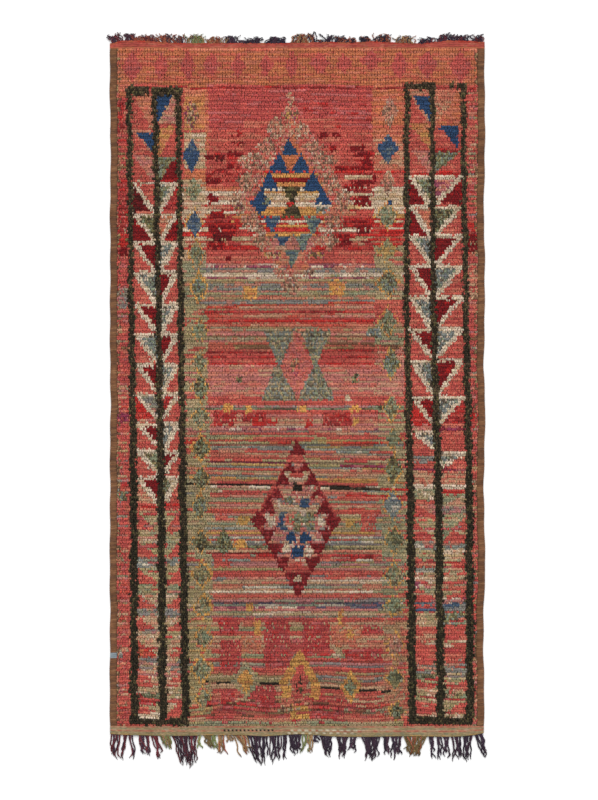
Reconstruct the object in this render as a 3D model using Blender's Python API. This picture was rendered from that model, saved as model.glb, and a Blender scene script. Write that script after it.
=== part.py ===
"""A hand-knotted wool rug lying flat, pile side up.

Metres, +Z up. +Y runs to the short-fringed end, and the underside lies on z = 0.
The cloth is one slab of ground weave and pile. Its two side bindings, and the flat-woven
web at each end with its warp fringe, are solids of their own a hair's breadth away.
Tables are in millimetres. Across is measured from the left side of the cloth, and down is
measured from its upper edge.
"""
import math

import bmesh
import bpy

MM = 0.001

# Driving dimensions
CLOTH_WIDTH = 1.496
CLOTH_LENGTH = 2.772
PIECE_GAP = 0.0003

# Pile field: ground weave and pile together
PILE_TOP = 0.013
PILE_SHOULDER = 0.0095
PILE_WAVE = 0.0007
PILE_WAVE_ACROSS = 9.0
PILE_WAVE_START = 1.0
PILE_WAVE_DOWN = 5.5
BAR_RISE = 0.003
BAR_SLOPE = 0.004
FIELD_COLUMNS = 8
ROW_STEP = 0.050

# Side bindings: height of the wound band from its outer to its inner side
SELVEDGE_WIDTH = 0.029
SELVEDGE_HEIGHTS = (0.0045, 0.0085, 0.0095, 0.0070)
SELVEDGE_SCALLOP = 0.0012
SELVEDGE_SCALLOP_PITCH = 0.165
SELVEDGE_SWELL = 0.05

# End webs and their fringes
TOP_WEB_DEPTH = 0.026
BOTTOM_WEB_DEPTH = 0.038
WEB_BACK_HEIGHT = 0.0065
WEB_FRONT_HEIGHT = 0.0045
TOP_LOCK_PITCH = 0.0165
BOTTOM_LOCK_PITCH = 0.0122
LOCK_FILL = 0.68
TOP_LOCK_STEPS = (0.45, 1.0)
BOTTOM_LOCK_STEPS = (0.30, 0.66, 1.0)
LOCK_SWELL = 1.25
LOCK_TIP_WIDTH = 0.0030
LOCK_TIP_HEIGHT = 0.0026
LOCK_CROWN = 0.62
LOCK_TIP_CROWD = 0.40

# How much shorter some locks are than the rest, and how that changes along a clump
LOCK_UNEVENNESS = 0.22
LOCK_UNEVEN_STEP = 2.7
LOCK_UNEVEN_SHIFT = 31.0

# How far the two ends of the cloth stray from a straight line, towards the fringe
END_COLUMNS = ("across", "top", "bottom")
END_EDGES = (
    (0, -4, -8),
    (45, 8, -4),
    (98, 10, -3),
    (160, 8, -1),
    (220, 0, 0),
    (300, -2, 0),
    (400, -2, -2),
    (518, -1, -4),
    (618, -2, 2),
    (748, -1, -7),
    (800, 0, -5),
    (880, 4, 2),
    (960, 0, 4),
    (1040, 6, 4),
    (1140, 0, 2),
    (1240, -4, 2),
    (1300, 3, 3),
    (1350, 10, 4),
    (1410, 9, 2),
    (1460, 7, -4),
    (1496, 2, -13),
)

# How far each side strays outwards, and how wide its pile-side margin wanders
SIDE_COLUMNS = ("down", "left", "right")
SIDE_EDGES = (
    (0, 0, 0),
    (180, 2, 1),
    (340, -1, 3),
    (520, -2, 1),
    (680, 1, -3),
    (840, -1, 2),
    (1140, 1, 1),
    (1300, 0, -3),
    (1460, -2, 4),
    (1620, 1, 1),
    (1780, 0, -3),
    (1960, 1, 1),
    (2110, 2, 4),
    (2270, 0, -3),
    (2430, 1, -4),
    (2600, 2, 0),
    (2772, 0, -2),
)

# Centre lines of the black pile bars of the two side panels
BAR_COLUMNS = ("down", "l1", "l2", "l3", "r1", "r2", "r3", "width")
BARS = (
    (170, 79, 181, 271, 1187, 1287, 1411, 28),
    (1030, 87, 193, 281, 1187, 1291, 1423, 30),
    (1830, 95, 205, 291, 1201, 1313, 1437, 36),
    (2772, 95, 211, 301, 1209, 1323, 1435, 36),
)
LEFT_BARS = ("l1", "l2", "l3")
RIGHT_BARS = ("r1", "r2", "r3")
BARS_START = 0.172
BARS_END = 2.722
CROSSBAR_WIDTH = 0.028

# Furrows between knot rows that part widely across the middle of the field: down and depth
FURROWS = (
    (1174, 1.6),
    (1238, 1.6),
    (1614, 2.2),
    (1682, 2.2),
    (1770, 2.6),
    (2042, 2.2),
    (2246, 2.2),
    (2478, 2.4),
    (2562, 3.0),
    (2590, 3.0),
    (2654, 3.0),
    (2680, 3.0),
)
FURROW_HALF_WIDTH = 0.006

# Knot rows that run out of square: how far their right end hangs below their left,
# and how high the waves of the rows beaten in last are
ROW_COLUMNS = ("down", "fall", "wave")
ROW_PATH = (
    (0, 0, 0),
    (60, 0, 0),
    (180, 0, 3),
    (400, 0, 0),
    (1600, 0, 0),
    (1690, 22, 0),
    (1780, 24, 0),
    (1960, 0, 0),
    (2420, 0, 0),
    (2560, 0, 6),
    (2680, 0, 7),
    (2730, 0, 0),
    (2772, 0, 0),
)
ROW_WAVE_LENGTH = 0.37

# Clumps of warp ends: where their roots start and end, where they meet, how far they reach
CLUMP_COLUMNS = ("root_from", "root_to", "tip", "reach")
TOP_CLUMPS = (
    (3, 55, 14, 34),
    (59, 111, 74, 31),
    (115, 131, 118, 20),
    (135, 191, 150, 28),
    (195, 255, 214, 40),
    (259, 291, 279, 38),
    (295, 315, 307, 42),
    (319, 379, 351, 38),
    (383, 447, 415, 28),
    (451, 519, 478, 32),
    (523, 559, 545, 13),
    (563, 607, 583, 27),
    (611, 707, 659, 26),
    (711, 799, 763, 38),
    (803, 831, 811, 46),
    (835, 851, 843, 14),
    (855, 883, 867, 35),
    (887, 947, 919, 27),
    (951, 991, 967, 20),
    (995, 1047, 1023, 21),
    (1051, 1123, 1091, 35),
    (1135, 1223, 1179, 32),
    (1227, 1263, 1250, 22),
    (1271, 1295, 1283, 26),
    (1299, 1347, 1331, 28),
    (1351, 1383, 1371, 33),
    (1387, 1439, 1403, 24),
    (1443, 1489, 1477, 28),
)
BOTTOM_CLUMPS = (
    (3, 43, 19, 104),
    (55, 68, 55, 106),
    (73, 89, 91, 106),
    (111, 155, 143, 90),
    (159, 187, 203, 96),
    (195, 237, 238, 56),
    (243, 351, 313, 136),
    (355, 363, 356, 54),
    (371, 423, 405, 60),
    (429, 459, 448, 84),
    (463, 475, 473, 32),
    (485, 535, 549, 92),
    (545, 631, 597, 120),
    (637, 679, 661, 128),
    (683, 707, 695, 104),
    (711, 767, 739, 92),
    (771, 811, 787, 80),
    (815, 831, 821, 32),
    (835, 887, 869, 88),
    (903, 955, 927, 92),
    (961, 987, 969, 68),
    (1001, 1079, 1043, 100),
    (1087, 1115, 1107, 84),
    (1121, 1167, 1143, 96),
    (1173, 1267, 1215, 82),
    (1273, 1295, 1285, 100),
    (1301, 1323, 1315, 98),
    (1331, 1355, 1347, 92),
    (1361, 1403, 1393, 104),
    (1411, 1451, 1427, 106),
    (1453, 1487, 1500, 102),
)

# Plain colours of the wools, as linear red, green and blue
MADDER_RED = (0.33, 0.075, 0.055)
GOAT_BROWN = (0.20, 0.095, 0.055)
WEB_RED = (0.36, 0.075, 0.055)
AUBERGINE = (0.05, 0.028, 0.045)
WOOL_ROUGHNESS = 0.92


def clear_scene():
    for old in list(bpy.data.objects):
        bpy.data.objects.remove(old, do_unlink=True)


def reading(table, columns, name, at):
    """The named column at a place in metres, eased between the two rows around it."""
    spot = at / MM
    value = columns.index(name)
    lower = table[0]
    for upper in table:
        if spot <= upper[0]:
            break
        lower = upper
    span = upper[0] - lower[0]
    if span <= 0:
        return upper[value] * MM
    share = min(1.0, (spot - lower[0]) / span)
    eased = share * share * (3.0 - 2.0 * share)
    return (lower[value] + (upper[value] - lower[value]) * eased) * MM


def place_x(across):
    return across - CLOTH_WIDTH / 2


def place_y(down):
    return CLOTH_LENGTH / 2 - down


def row_y(across, down):
    """Place of a knot row along the cloth, with its slant and its waves."""
    fall = reading(ROW_PATH, ROW_COLUMNS, "fall", down)
    wave = reading(ROW_PATH, ROW_COLUMNS, "wave", down)
    slant = fall * (across / CLOTH_WIDTH - 0.5)
    return place_y(down) - slant + wave * math.sin(2 * math.pi * across / ROW_WAVE_LENGTH)


def side_across(side, down):
    """Outer side of the cloth, across from the nominal left side."""
    stray = reading(SIDE_EDGES, SIDE_COLUMNS, side, down)
    stray += SELVEDGE_SCALLOP * math.sin(2 * math.pi * down / SELVEDGE_SCALLOP_PITCH)
    if side == "left":
        return -stray
    return CLOTH_WIDTH + stray


def field_side(side, down):
    """Side of the pile field, where the binding ends."""
    inwards = SELVEDGE_WIDTH + PIECE_GAP
    if side == "left":
        return side_across("left", down) + inwards
    return side_across("right", down) - inwards


def bar_lines(names, down):
    """Foot, crest, crest and foot of each bar, as pairs of place and bar height."""
    lines = []
    half = reading(BARS, BAR_COLUMNS, "width", down) / 2
    for name in names:
        centre = reading(BARS, BAR_COLUMNS, name, down)
        lines.append((centre - half - BAR_SLOPE / 2, 0.0))
        lines.append((centre - half + BAR_SLOPE / 2, 1.0))
        lines.append((centre + half - BAR_SLOPE / 2, 1.0))
        lines.append((centre + half + BAR_SLOPE / 2, 0.0))
    return lines


def field_lines(down):
    """Every lengthwise line of the field at one row: place, bar height and furrow share."""
    left = bar_lines(LEFT_BARS, down)
    right = bar_lines(RIGHT_BARS, down)
    start = left[-1][0]
    step = (right[0][0] - start) / FIELD_COLUMNS
    lines = [(field_side("left", down), 0.0, 0.0)]
    lines += [(across, rise, 0.0) for across, rise in left]
    lines += [(start + step * number, 0.0, 1.0) for number in range(1, FIELD_COLUMNS)]
    lines += [(across, rise, 0.0) for across, rise in right]
    lines.append((field_side("right", down), 0.0, 0.0))
    return lines


def field_rows():
    """Every crosswise line of the field: place down the cloth, bar, crossbar and furrow depth."""
    first = TOP_WEB_DEPTH + PIECE_GAP
    last = CLOTH_LENGTH - BOTTOM_WEB_DEPTH - PIECE_GAP
    rows = {first: (0.0, 0.0, 0.0), last: (0.0, 0.0, 0.0)}
    inner = BAR_SLOPE / 2
    for start, outwards in ((BARS_START, 1), (BARS_END, -1)):
        far = start + outwards * CROSSBAR_WIDTH
        rows[start - outwards * inner] = (0.0, 0.0, 0.0)
        rows[start + outwards * inner] = (1.0, 1.0, 0.0)
        rows[far - outwards * inner] = (1.0, 1.0, 0.0)
        rows[far + outwards * inner] = (1.0, 0.0, 0.0)
    for down, depth in FURROWS:
        middle = down * MM
        rows[middle - FURROW_HALF_WIDTH] = (1.0, 0.0, 0.0)
        rows[middle] = (1.0, 0.0, depth * MM)
        rows[middle + FURROW_HALF_WIDTH] = (1.0, 0.0, 0.0)
    fixed = sorted(rows)
    for upper, lower in zip(fixed, fixed[1:]):
        parts = max(1, round((lower - upper) / ROW_STEP))
        for number in range(1, parts):
            down = upper + (lower - upper) * number / parts
            in_bars = BARS_START < down < BARS_END
            rows[down] = (1.0 if in_bars else 0.0, 0.0, 0.0)
    return sorted(rows.items())


def between_bars(index):
    """Whether a lengthwise line runs inside one of the two side panels, where crossbars lie."""
    panel = 4 * len(LEFT_BARS)
    right_start = panel + FIELD_COLUMNS
    return 2 <= index <= panel - 1 or right_start + 1 <= index <= right_start + panel - 2


def pile_height(across, down, bar, crossbar, furrow, rise, share, index):
    """Height of the pile at one crossing of the field's lines."""
    lift = max(rise * bar, crossbar if between_bars(index) else 0.0)
    wave = PILE_WAVE * math.sin(PILE_WAVE_ACROSS * across + PILE_WAVE_START)
    wave *= math.cos(PILE_WAVE_DOWN * down)
    return PILE_TOP + BAR_RISE * lift - furrow * share + wave


def mapped_grid(columns, rows, place):
    """A grid whose crossings are moved where place(column, row) says."""
    mesh = bmesh.new()
    row_mark = mesh.verts.layers.int.new("row")
    bmesh.ops.create_grid(mesh, x_segments=columns, y_segments=rows, size=0.5)
    for vert in mesh.verts:
        column = round((vert.co.x + 0.5) * columns)
        row = round((0.5 - vert.co.y) * rows)
        vert.co = place(column, row)
        vert[row_mark] = row
    return mesh


def thicken_to_floor(mesh, wide_underside):
    """Turn an upper face into a closed solid whose underside lies on the floor.

    A wide underside has one face for each crosswise row instead of one for each cell.
    """
    upper = mesh.faces[:]
    made = bmesh.ops.extrude_face_region(mesh, geom=upper, use_keep_orig=True)["geom"]
    under = {piece for piece in made if isinstance(piece, bmesh.types.BMFace)}
    for vert in {vert for face in under for vert in face.verts}:
        vert.co.z = 0.0
    if wide_underside:
        row_mark = mesh.verts.layers.int["row"]
        edges = {edge for face in under for edge in face.edges}
        lengthwise = [edge for edge in edges
                      if edge.verts[0][row_mark] != edge.verts[1][row_mark]
                      and all(face in under for face in edge.link_faces)]
        bmesh.ops.dissolve_edges(mesh, edges=lengthwise, use_verts=True)
    bmesh.ops.recalc_face_normals(mesh, faces=mesh.faces)


def pile_field_mesh():
    rows = field_rows()
    lines = [field_lines(down) for down, _ in rows]
    columns = len(lines[0]) - 1

    def place(column, row):
        down, (bar, crossbar, furrow) = rows[row]
        across, rise, share = lines[row][column]
        at_rim = column in (0, columns) or row in (0, len(rows) - 1)
        if at_rim:
            height = PILE_SHOULDER
        else:
            height = pile_height(across, down, bar, crossbar, furrow, rise, share, column)
        return (place_x(across), row_y(across, down), height)

    mesh = mapped_grid(columns, len(rows) - 1, place)
    thicken_to_floor(mesh, wide_underside=True)
    return mesh


def selvedge_mesh(side):
    stations = [down for down, _ in field_rows()]
    columns = len(SELVEDGE_HEIGHTS) - 1
    inwards = 1 if side == "left" else -1

    def place(column, row):
        down = stations[row]
        order = column if side == "left" else columns - column
        across = side_across(side, down) + inwards * SELVEDGE_WIDTH * order / columns
        swell = 1.0 + SELVEDGE_SWELL * math.sin(2 * math.pi * down / SELVEDGE_SCALLOP_PITCH)
        height = SELVEDGE_HEIGHTS[order] * swell
        return (place_x(across), row_y(across, down), height)

    mesh = mapped_grid(columns, len(stations) - 1, place)
    thicken_to_floor(mesh, wide_underside=True)
    return mesh


def lock_roots(clumps, pitch):
    """Each lock's root middle, its tip and its reach, left to right."""
    locks = []
    for row in clumps:
        clump = dict(zip(CLUMP_COLUMNS, [value * MM for value in row]))
        width = clump["root_to"] - clump["root_from"]
        count = max(1, round(width / pitch))
        middle = (clump["root_from"] + clump["root_to"]) / 2
        for number in range(count):
            root = clump["root_from"] + width * (number + 0.5) / count
            aside = root - middle
            tip = clump["tip"] + aside * LOCK_TIP_CROWD
            turn = LOCK_UNEVEN_STEP * number + LOCK_UNEVEN_SHIFT * middle
            evenness = 1.0 - LOCK_UNEVENNESS * abs(math.sin(turn))
            half = LOCK_FILL * width / count / 2
            locks.append((root, half, tip, clump["reach"] * evenness))
    return locks


def web_columns(locks):
    """Places along the web's front edge, with a mark where a lock grows from the next span."""
    places = [0.0]
    grows = []
    for root, half, _, _ in locks:
        grows.append(False)
        places.append(root - half)
        grows.append(True)
        places.append(root + half)
    grows.append(False)
    places.append(CLOTH_WIDTH)
    return places, grows


def grow_lock(mesh, face, start_y, outwards, lock, steps):
    """Draw one warp lock out of a face of the web's front wall, lying on the floor."""
    root, half, tip, reach = lock
    current = face
    previous = root
    for share in steps:
        made = bmesh.ops.extrude_discrete_faces(mesh, faces=[current])["faces"]
        current = made[0]
        eased = share * share * (3.0 - 2.0 * share)
        middle = root + (tip - root) * eased
        wide = half + (LOCK_TIP_WIDTH / 2 - half) * share
        high = WEB_FRONT_HEIGHT * LOCK_SWELL * (1.0 - share) + LOCK_TIP_HEIGHT * share
        centre = place_x(previous)
        for vert in current.verts:
            side = 1.0 if vert.co.x > centre else -1.0
            upper = vert.co.z > LOCK_TIP_HEIGHT / 4
            narrowed = wide * LOCK_CROWN if upper else wide
            vert.co = (place_x(middle) + side * narrowed,
                       start_y + outwards * reach * share,
                       high if upper else 0.0)
        previous = middle


def fringe_mesh(end):
    top = end == "top"
    clumps = TOP_CLUMPS if top else BOTTOM_CLUMPS
    pitch = TOP_LOCK_PITCH if top else BOTTOM_LOCK_PITCH
    steps = TOP_LOCK_STEPS if top else BOTTOM_LOCK_STEPS
    depth = TOP_WEB_DEPTH if top else BOTTOM_WEB_DEPTH
    outwards = 1 if top else -1
    locks = lock_roots(clumps, pitch)
    places, grows = web_columns(locks)

    edge = 0.0 if top else CLOTH_LENGTH
    places[0] = side_across("left", edge)
    places[-1] = side_across("right", edge)

    def place(column, row):
        across = places[column]
        if (row == 0) != top:
            return (place_x(across), place_y(edge) - outwards * depth, WEB_BACK_HEIGHT)
        stray = reading(END_EDGES, END_COLUMNS, end, across)
        return (place_x(across), place_y(edge) + outwards * stray, WEB_FRONT_HEIGHT)

    mesh = mapped_grid(len(places) - 1, 1, place)
    thicken_to_floor(mesh, wide_underside=False)
    front_walls = []
    for face in mesh.faces:
        heights = {round(vert.co.z, 5) for vert in face.verts}
        if len(face.verts) == 4 and heights == {0.0, round(WEB_FRONT_HEIGHT, 5)}:
            front_walls.append(face)
    front_walls.sort(key=lambda face: face.calc_center_median().x)
    roots = [face for face, grow in zip(front_walls, grows) if grow]
    for face, lock in zip(roots, locks):
        start_y = face.calc_center_median().y
        grow_lock(mesh, face, start_y, outwards, lock, steps)
    bmesh.ops.recalc_face_normals(mesh, faces=mesh.faces)
    return mesh


def wool(name, colour):
    material = bpy.data.materials.new(name)
    material.use_nodes = True
    shader = material.node_tree.nodes["Principled BSDF"]
    shader.inputs["Base Color"].default_value = (*colour, 1.0)
    shader.inputs["Roughness"].default_value = WOOL_ROUGHNESS
    shader.inputs["Metallic"].default_value = 0.0
    return material


def add_piece(name, mesh, material, collection):
    data = bpy.data.meshes.new(name)
    mesh.to_mesh(data)
    mesh.free()
    data.materials.append(material)
    piece = bpy.data.objects.new(name, data)
    collection.objects.link(piece)
    return piece


def centre_on_floor(pieces):
    """Bring the middle of everything over the origin, without lifting it off the floor."""
    points = [vert.co for piece in pieces for vert in piece.data.vertices]
    middle_x = (min(p.x for p in points) + max(p.x for p in points)) / 2
    middle_y = (min(p.y for p in points) + max(p.y for p in points)) / 2
    for piece in pieces:
        for vert in piece.data.vertices:
            vert.co.x -= middle_x
            vert.co.y -= middle_y


def main():
    clear_scene()
    collection = bpy.data.collections.new("hand_knotted_rug")
    bpy.context.scene.collection.children.link(collection)
    pile = wool("madder_pile_wool", MADDER_RED)
    binding = wool("brown_goat_hair", GOAT_BROWN)
    red_web = wool("red_end_web", WEB_RED)
    warp_ends = wool("aubergine_warp_ends", AUBERGINE)
    pieces = [
        add_piece("pile_field", pile_field_mesh(), pile, collection),
        add_piece("selvedge_left", selvedge_mesh("left"), binding, collection),
        add_piece("selvedge_right", selvedge_mesh("right"), binding, collection),
        add_piece("fringe_top", fringe_mesh("top"), red_web, collection),
        add_piece("fringe_bottom", fringe_mesh("bottom"), warp_ends, collection),
    ]
    centre_on_floor(pieces)


main()
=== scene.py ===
# %% [markdown]
# This lesson dresses a plain model of a hand-knotted wool rug. The model is one slab of
# knotted cloth with two side bindings, two flat-woven end webs and their fringes. It is
# loaded as a fixed frame, and every piece made here lies where its plain solid lies.
# Blender could also show the solids with a painted picture on them. Real tufts were chosen
# instead, because the rows of pile throw the small shadows that make wool look like wool.

# %% Load the frame
import math

import bpy
import numpy as np
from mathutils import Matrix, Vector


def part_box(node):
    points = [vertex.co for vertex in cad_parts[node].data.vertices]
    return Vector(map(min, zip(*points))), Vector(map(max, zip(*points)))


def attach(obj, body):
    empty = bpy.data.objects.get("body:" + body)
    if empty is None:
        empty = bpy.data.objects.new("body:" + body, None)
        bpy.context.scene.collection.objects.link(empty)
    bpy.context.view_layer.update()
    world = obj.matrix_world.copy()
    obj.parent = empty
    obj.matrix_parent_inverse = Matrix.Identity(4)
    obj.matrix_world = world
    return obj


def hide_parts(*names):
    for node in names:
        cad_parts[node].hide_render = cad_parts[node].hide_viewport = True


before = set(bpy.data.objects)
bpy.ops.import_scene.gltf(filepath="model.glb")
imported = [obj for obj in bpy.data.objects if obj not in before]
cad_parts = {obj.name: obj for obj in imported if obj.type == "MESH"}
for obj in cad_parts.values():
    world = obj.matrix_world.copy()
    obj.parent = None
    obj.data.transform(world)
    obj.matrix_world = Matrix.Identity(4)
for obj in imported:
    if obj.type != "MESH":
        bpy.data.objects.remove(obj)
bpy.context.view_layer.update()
print("nodes", sorted(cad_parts))

# %% [markdown]
# The rug is charted the way a weaver would set it out: a table of yarns, a table of the
# blends that they are tied in, and lists of stripes and shapes that are tied on top
# of each other. The numbers of the lists are places in the photograph, in pixels, and one
# pixel is 4 mm of cloth. A painted picture would be quicker, but it would be flat, and it
# would not give each tuft a colour of its own.

# %% Sizes of the cloth
PX = 0.004
CLOTH_WIDTH = 1.496
CLOTH_LENGTH = 2.772
LEFT_PX = 110.25
UPPER_PX = 42.5
TOP_WEB_DEPTH = 0.026
BOTTOM_WEB_DEPTH = 0.038
SELVEDGE_WIDTH = 0.029
PIECE_GAP = 0.0003
KNOT_COLUMNS = 130
TUFTS_IN_A_KNOT = 2
KNOT_ROWS = 150
LAYS_IN_A_ROW = 2
rng = np.random.default_rng(41)

# %% How far the sides stray and the rows slant, in millimetres
SIDE_EDGES = np.array([
    (0, 0, 0), (180, 2, 1), (340, -1, 3), (520, -2, 1), (680, 1, -3), (840, -1, 2),
    (1140, 1, 1), (1300, 0, -3), (1460, -2, 4), (1620, 1, 1), (1780, 0, -3), (1960, 1, 1),
    (2110, 2, 4), (2270, 0, -3), (2430, 1, -4), (2600, 2, 0), (2772, 0, -2),
]) * 0.001
SIDE_SCALLOP = 0.0012
SIDE_SCALLOP_PITCH = 0.165
ROW_PATH = np.array([
    (0, 0, 0), (60, 0, 0), (180, 0, 3), (400, 0, 0), (1600, 0, 0), (1690, 22, 0),
    (1780, 24, 0), (1960, 0, 0), (2420, 0, 0), (2560, 0, 6), (2680, 0, 7), (2730, 0, 0),
    (2772, 0, 0),
]) * 0.001
ROW_WAVE_LENGTH = 0.37


def read(table, column, down):
    """One column of a table, read between its rows."""
    return np.interp(down, table[:, 0], table[:, column])


def side_across(side, down):
    """Outer side of the cloth, across from its nominal left side."""
    scallop = SIDE_SCALLOP * np.sin(2 * np.pi * down / SIDE_SCALLOP_PITCH)
    if side == "left":
        return -(read(SIDE_EDGES, 1, down) + scallop)
    return CLOTH_WIDTH + read(SIDE_EDGES, 2, down) + scallop


def row_drop(across, down):
    """How far a knot row lies from its straight line, towards the lower edge."""
    slant = read(ROW_PATH, 1, down) * (across / CLOTH_WIDTH - 0.5)
    return slant - read(ROW_PATH, 2, down) * np.sin(2 * np.pi * across / ROW_WAVE_LENGTH)


# %% Where each knot is tied
# How far a knot strays on the chart, across and down, in photo pixels: edges get ragged
WANDER_PX = (0.55, 0.60)
lays = KNOT_ROWS * LAYS_IN_A_ROW
ends = KNOT_COLUMNS * TUFTS_IN_A_KNOT
field_top = TOP_WEB_DEPTH + PIECE_GAP
field_bottom = CLOTH_LENGTH - BOTTOM_WEB_DEPTH - PIECE_GAP
lay_down = field_top + (np.arange(lays) + 0.5) / lays * (field_bottom - field_top)
inwards = SELVEDGE_WIDTH + PIECE_GAP
field_left = side_across("left", lay_down) + inwards
field_right = side_across("right", lay_down) - inwards
column_share = (np.arange(ends) + 0.5) / ends
ACROSS = field_left[:, None] + column_share[None, :] * (field_right - field_left)[:, None]
LEVEL = np.repeat(lay_down[:, None], ends, axis=1)
DOWN = LEVEL + row_drop(ACROSS, LEVEL)
wander_x = np.repeat(rng.normal(0.0, WANDER_PX[0], (lays, KNOT_COLUMNS)), TUFTS_IN_A_KNOT, axis=1)
wander_y = np.repeat(rng.normal(0.0, WANDER_PX[1], (lays, KNOT_COLUMNS)), TUFTS_IN_A_KNOT, axis=1)
X = ACROSS / PX + LEFT_PX + wander_x
Y = DOWN / PX + UPPER_PX + wander_y
X_STRAIGHT = ACROSS / PX + LEFT_PX
Y_STRAIGHT = DOWN / PX + UPPER_PX
ROW_Y = LEVEL / PX + UPPER_PX
print("tufts", ACROSS.size, "pitch mm", round(1000 * (ACROSS[0, 1] - ACROSS[0, 0]), 2),
      "by", round(1000 * (lay_down[1] - lay_down[0]), 2))

# %% [markdown]
# Hand-spun wool of several dye lots, and of rags and leftovers in places, is what gives such
# a rug its flecked look. A blend names the yarns that take turns, so a name that stands twice
# comes up twice as often. The yarns are dealt out in short runs along a row, because a weaver
# ties several knots from one length before the next is picked up.

# %% The yarns
YARNS = {
    "coral": "#b65146",
    "rose": "#a23e3c",
    "salmon": "#bd735c",
    "pink": "#ae6663",
    "orange": "#b36b45",
    "ochre": "#b5894c",
    "marigold": "#cf9a52",
    "red": "#b0231f",
    "burgundy": "#6c1216",
    "magenta": "#822b4d",
    "ivory": "#cbb8a2",
    "beige": "#ae9373",
    "khaki": "#96855a",
    "sage": "#7d846b",
    "olive": "#695f3b",
    "steel": "#707674",
    "indigo": "#294262",
    "brown": "#544030",
    "black": "#211e17",
}
BLENDS = {
    "coral_field": "coral coral coral rose salmon",
    "rose_field": "rose rose coral coral pink",
    "soft_coral": "coral salmon coral rose",
    "dusty": "salmon pink beige pink coral",
    "orange_field": "orange orange salmon orange coral",
    "orange_rose": "orange coral salmon orange",
    "gold": "ochre orange orange ochre salmon",
    "brass": "ochre marigold orange ochre orange",
    "peach": "salmon salmon orange beige coral",
    "bark": "salmon black beige pink salmon brown beige ivory salmon brown",
    "moss": "sage khaki sage olive sage beige brown",
    "slate": "steel sage steel brown ivory steel",
    "plum": "brown beige magenta brown salmon ochre",
    "lichen": "olive khaki sage black brown sage olive",
    "stone": "sage steel khaki brown sage olive",
    "pebble": "steel khaki sage brown steel beige",
    "ring_wine": "burgundy burgundy burgundy rose",
    "blue": "indigo indigo indigo steel",
    "wine": "burgundy burgundy burgundy burgundy red",
    "dark_wine": "burgundy burgundy burgundy black",
    "goat": "black black brown olive black black brown",
    "deep_goat": "black black black olive black brown black",
    "cream": "ivory ivory ivory beige",
    "butter": "ivory beige ivory ochre",
    "sand": "beige beige ivory salmon khaki",
    "straw": "khaki beige khaki sage beige",
    "lime": "sage sage khaki beige",
    "rain": "steel steel sage salmon",
    "rain_pink": "steel pink sage pink",
    "blush": "pink pink salmon beige",
    "berry_dots": "magenta pink ivory salmon",
    "berry": "magenta magenta burgundy pink",
    "scarlet": "red red red coral",
    "fire": "red coral orange coral",
    "blood": "red rose coral burgundy",
    "crimson": "rose rose coral red rose pink",
    "candy": "red coral beige salmon",
    "husk": "olive coral brown khaki coral",
    "pepper": "black sage khaki brown",
    "pine": "sage olive khaki black sage",
    "shell": "coral beige salmon beige",
    "moss_coral": "coral sage salmon khaki",
    "ochre_sage": "khaki ochre sage khaki beige",
    "denim": "indigo steel indigo steel",
    "sky": "steel sage steel ivory",
    "night": "black black brown black",
    "thread": "brown coral coral black khaki",
    "blue_rose": "indigo steel pink steel indigo coral",
    "blue_thread": "indigo indigo steel indigo pink",
    "confetti": "pink salmon coral ivory beige pink salmon steel",
    "amber": "marigold ochre marigold orange",
    "teal": "indigo sage steel sage",
    "soot": "black brown black olive",
    "umber": "brown brown khaki salmon",
}
FLECK = {"bark": 0.5, "plum": 0.8, "moss": 0.8, "stone": 0.8, "slate": 0.8, "lichen": 0.8,
         "goat": 0.6, "deep_goat": 0.5, "confetti": 0.75, "orange_field": 0.4, "rose_field": 0.5,
         "berry_dots": 0.8, "pebble": 0.65}
SINGLE_TUFTS = ("bark", "plum", "moss", "stone", "slate", "lichen", "goat", "deep_goat", "pepper",
                "pebble")
# Tufts in a run of one yarn, in the blends named above and in the rest, and the usual fleck
SHORT_RUN = 1.2
USUAL_RUN = 3.0
USUAL_FLECK = 0.55
YARN_NAMES = list(YARNS)
chart = np.zeros((lays, ends), dtype=int)
dyed = np.zeros((lays, ends, 3))


def linear(hex_colour):
    """A hex colour of the colour picker as the linear red, green and blue of light."""
    channels = np.array([int(hex_colour[at:at + 2], 16) for at in (1, 3, 5)]) / 255
    return np.where(channels <= 0.04045, channels / 12.92, ((channels + 0.055) / 1.055) ** 2.4)


yarn_light = np.array([linear(colour) for colour in YARNS.values()])


def deal(numbers, longest):
    """Deal a blend's yarns over the whole chart, in runs along each lay."""
    run = np.cumsum(rng.random(chart.shape) < 1.0 / longest, axis=1)
    picks = rng.integers(0, len(numbers), (lays, ends + 1))
    return numbers[np.take_along_axis(picks, run, axis=1)]


def tie(mask, blend, longest=None, fleck=None):
    """Tie one blend over the tufts that the mask holds.

    A small fleck value draws the yarns of a blend towards their common colour.
    """
    names = BLENDS.get(blend, blend).split()
    numbers = np.array([YARN_NAMES.index(name) for name in names])
    if longest is None:
        longest = SHORT_RUN if blend in SINGLE_TUFTS else USUAL_RUN
    dealt = deal(numbers, longest)[mask]
    if fleck is None:
        fleck = FLECK.get(blend, USUAL_FLECK)
    common = yarn_light[numbers].mean(axis=0)
    chart[mask] = dealt
    dyed[mask] = common + fleck * (yarn_light[dealt] - common)


# %% Shapes on the chart, in photo pixels
WEDGE_MARGIN = 0.3


def block(left, top, right, bottom):
    return (X >= left) & (X < right) & (Y >= top) & (Y < bottom)


def lozenge(x, y, width, height):
    return np.abs(X - x) / (width / 2) + np.abs(Y - y) / (height / 2) <= 1.0


def wedge(left, right, base, apex_x, apex_y):
    share = (Y - base) / (apex_y - base)
    left_side = left + (apex_x - left) * share
    right_side = right + (apex_x - right) * share
    within = (X >= left_side - WEDGE_MARGIN) & (X <= right_side + WEDGE_MARGIN)
    return (share >= 0.0) & (share <= 1.0) & within


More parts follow.
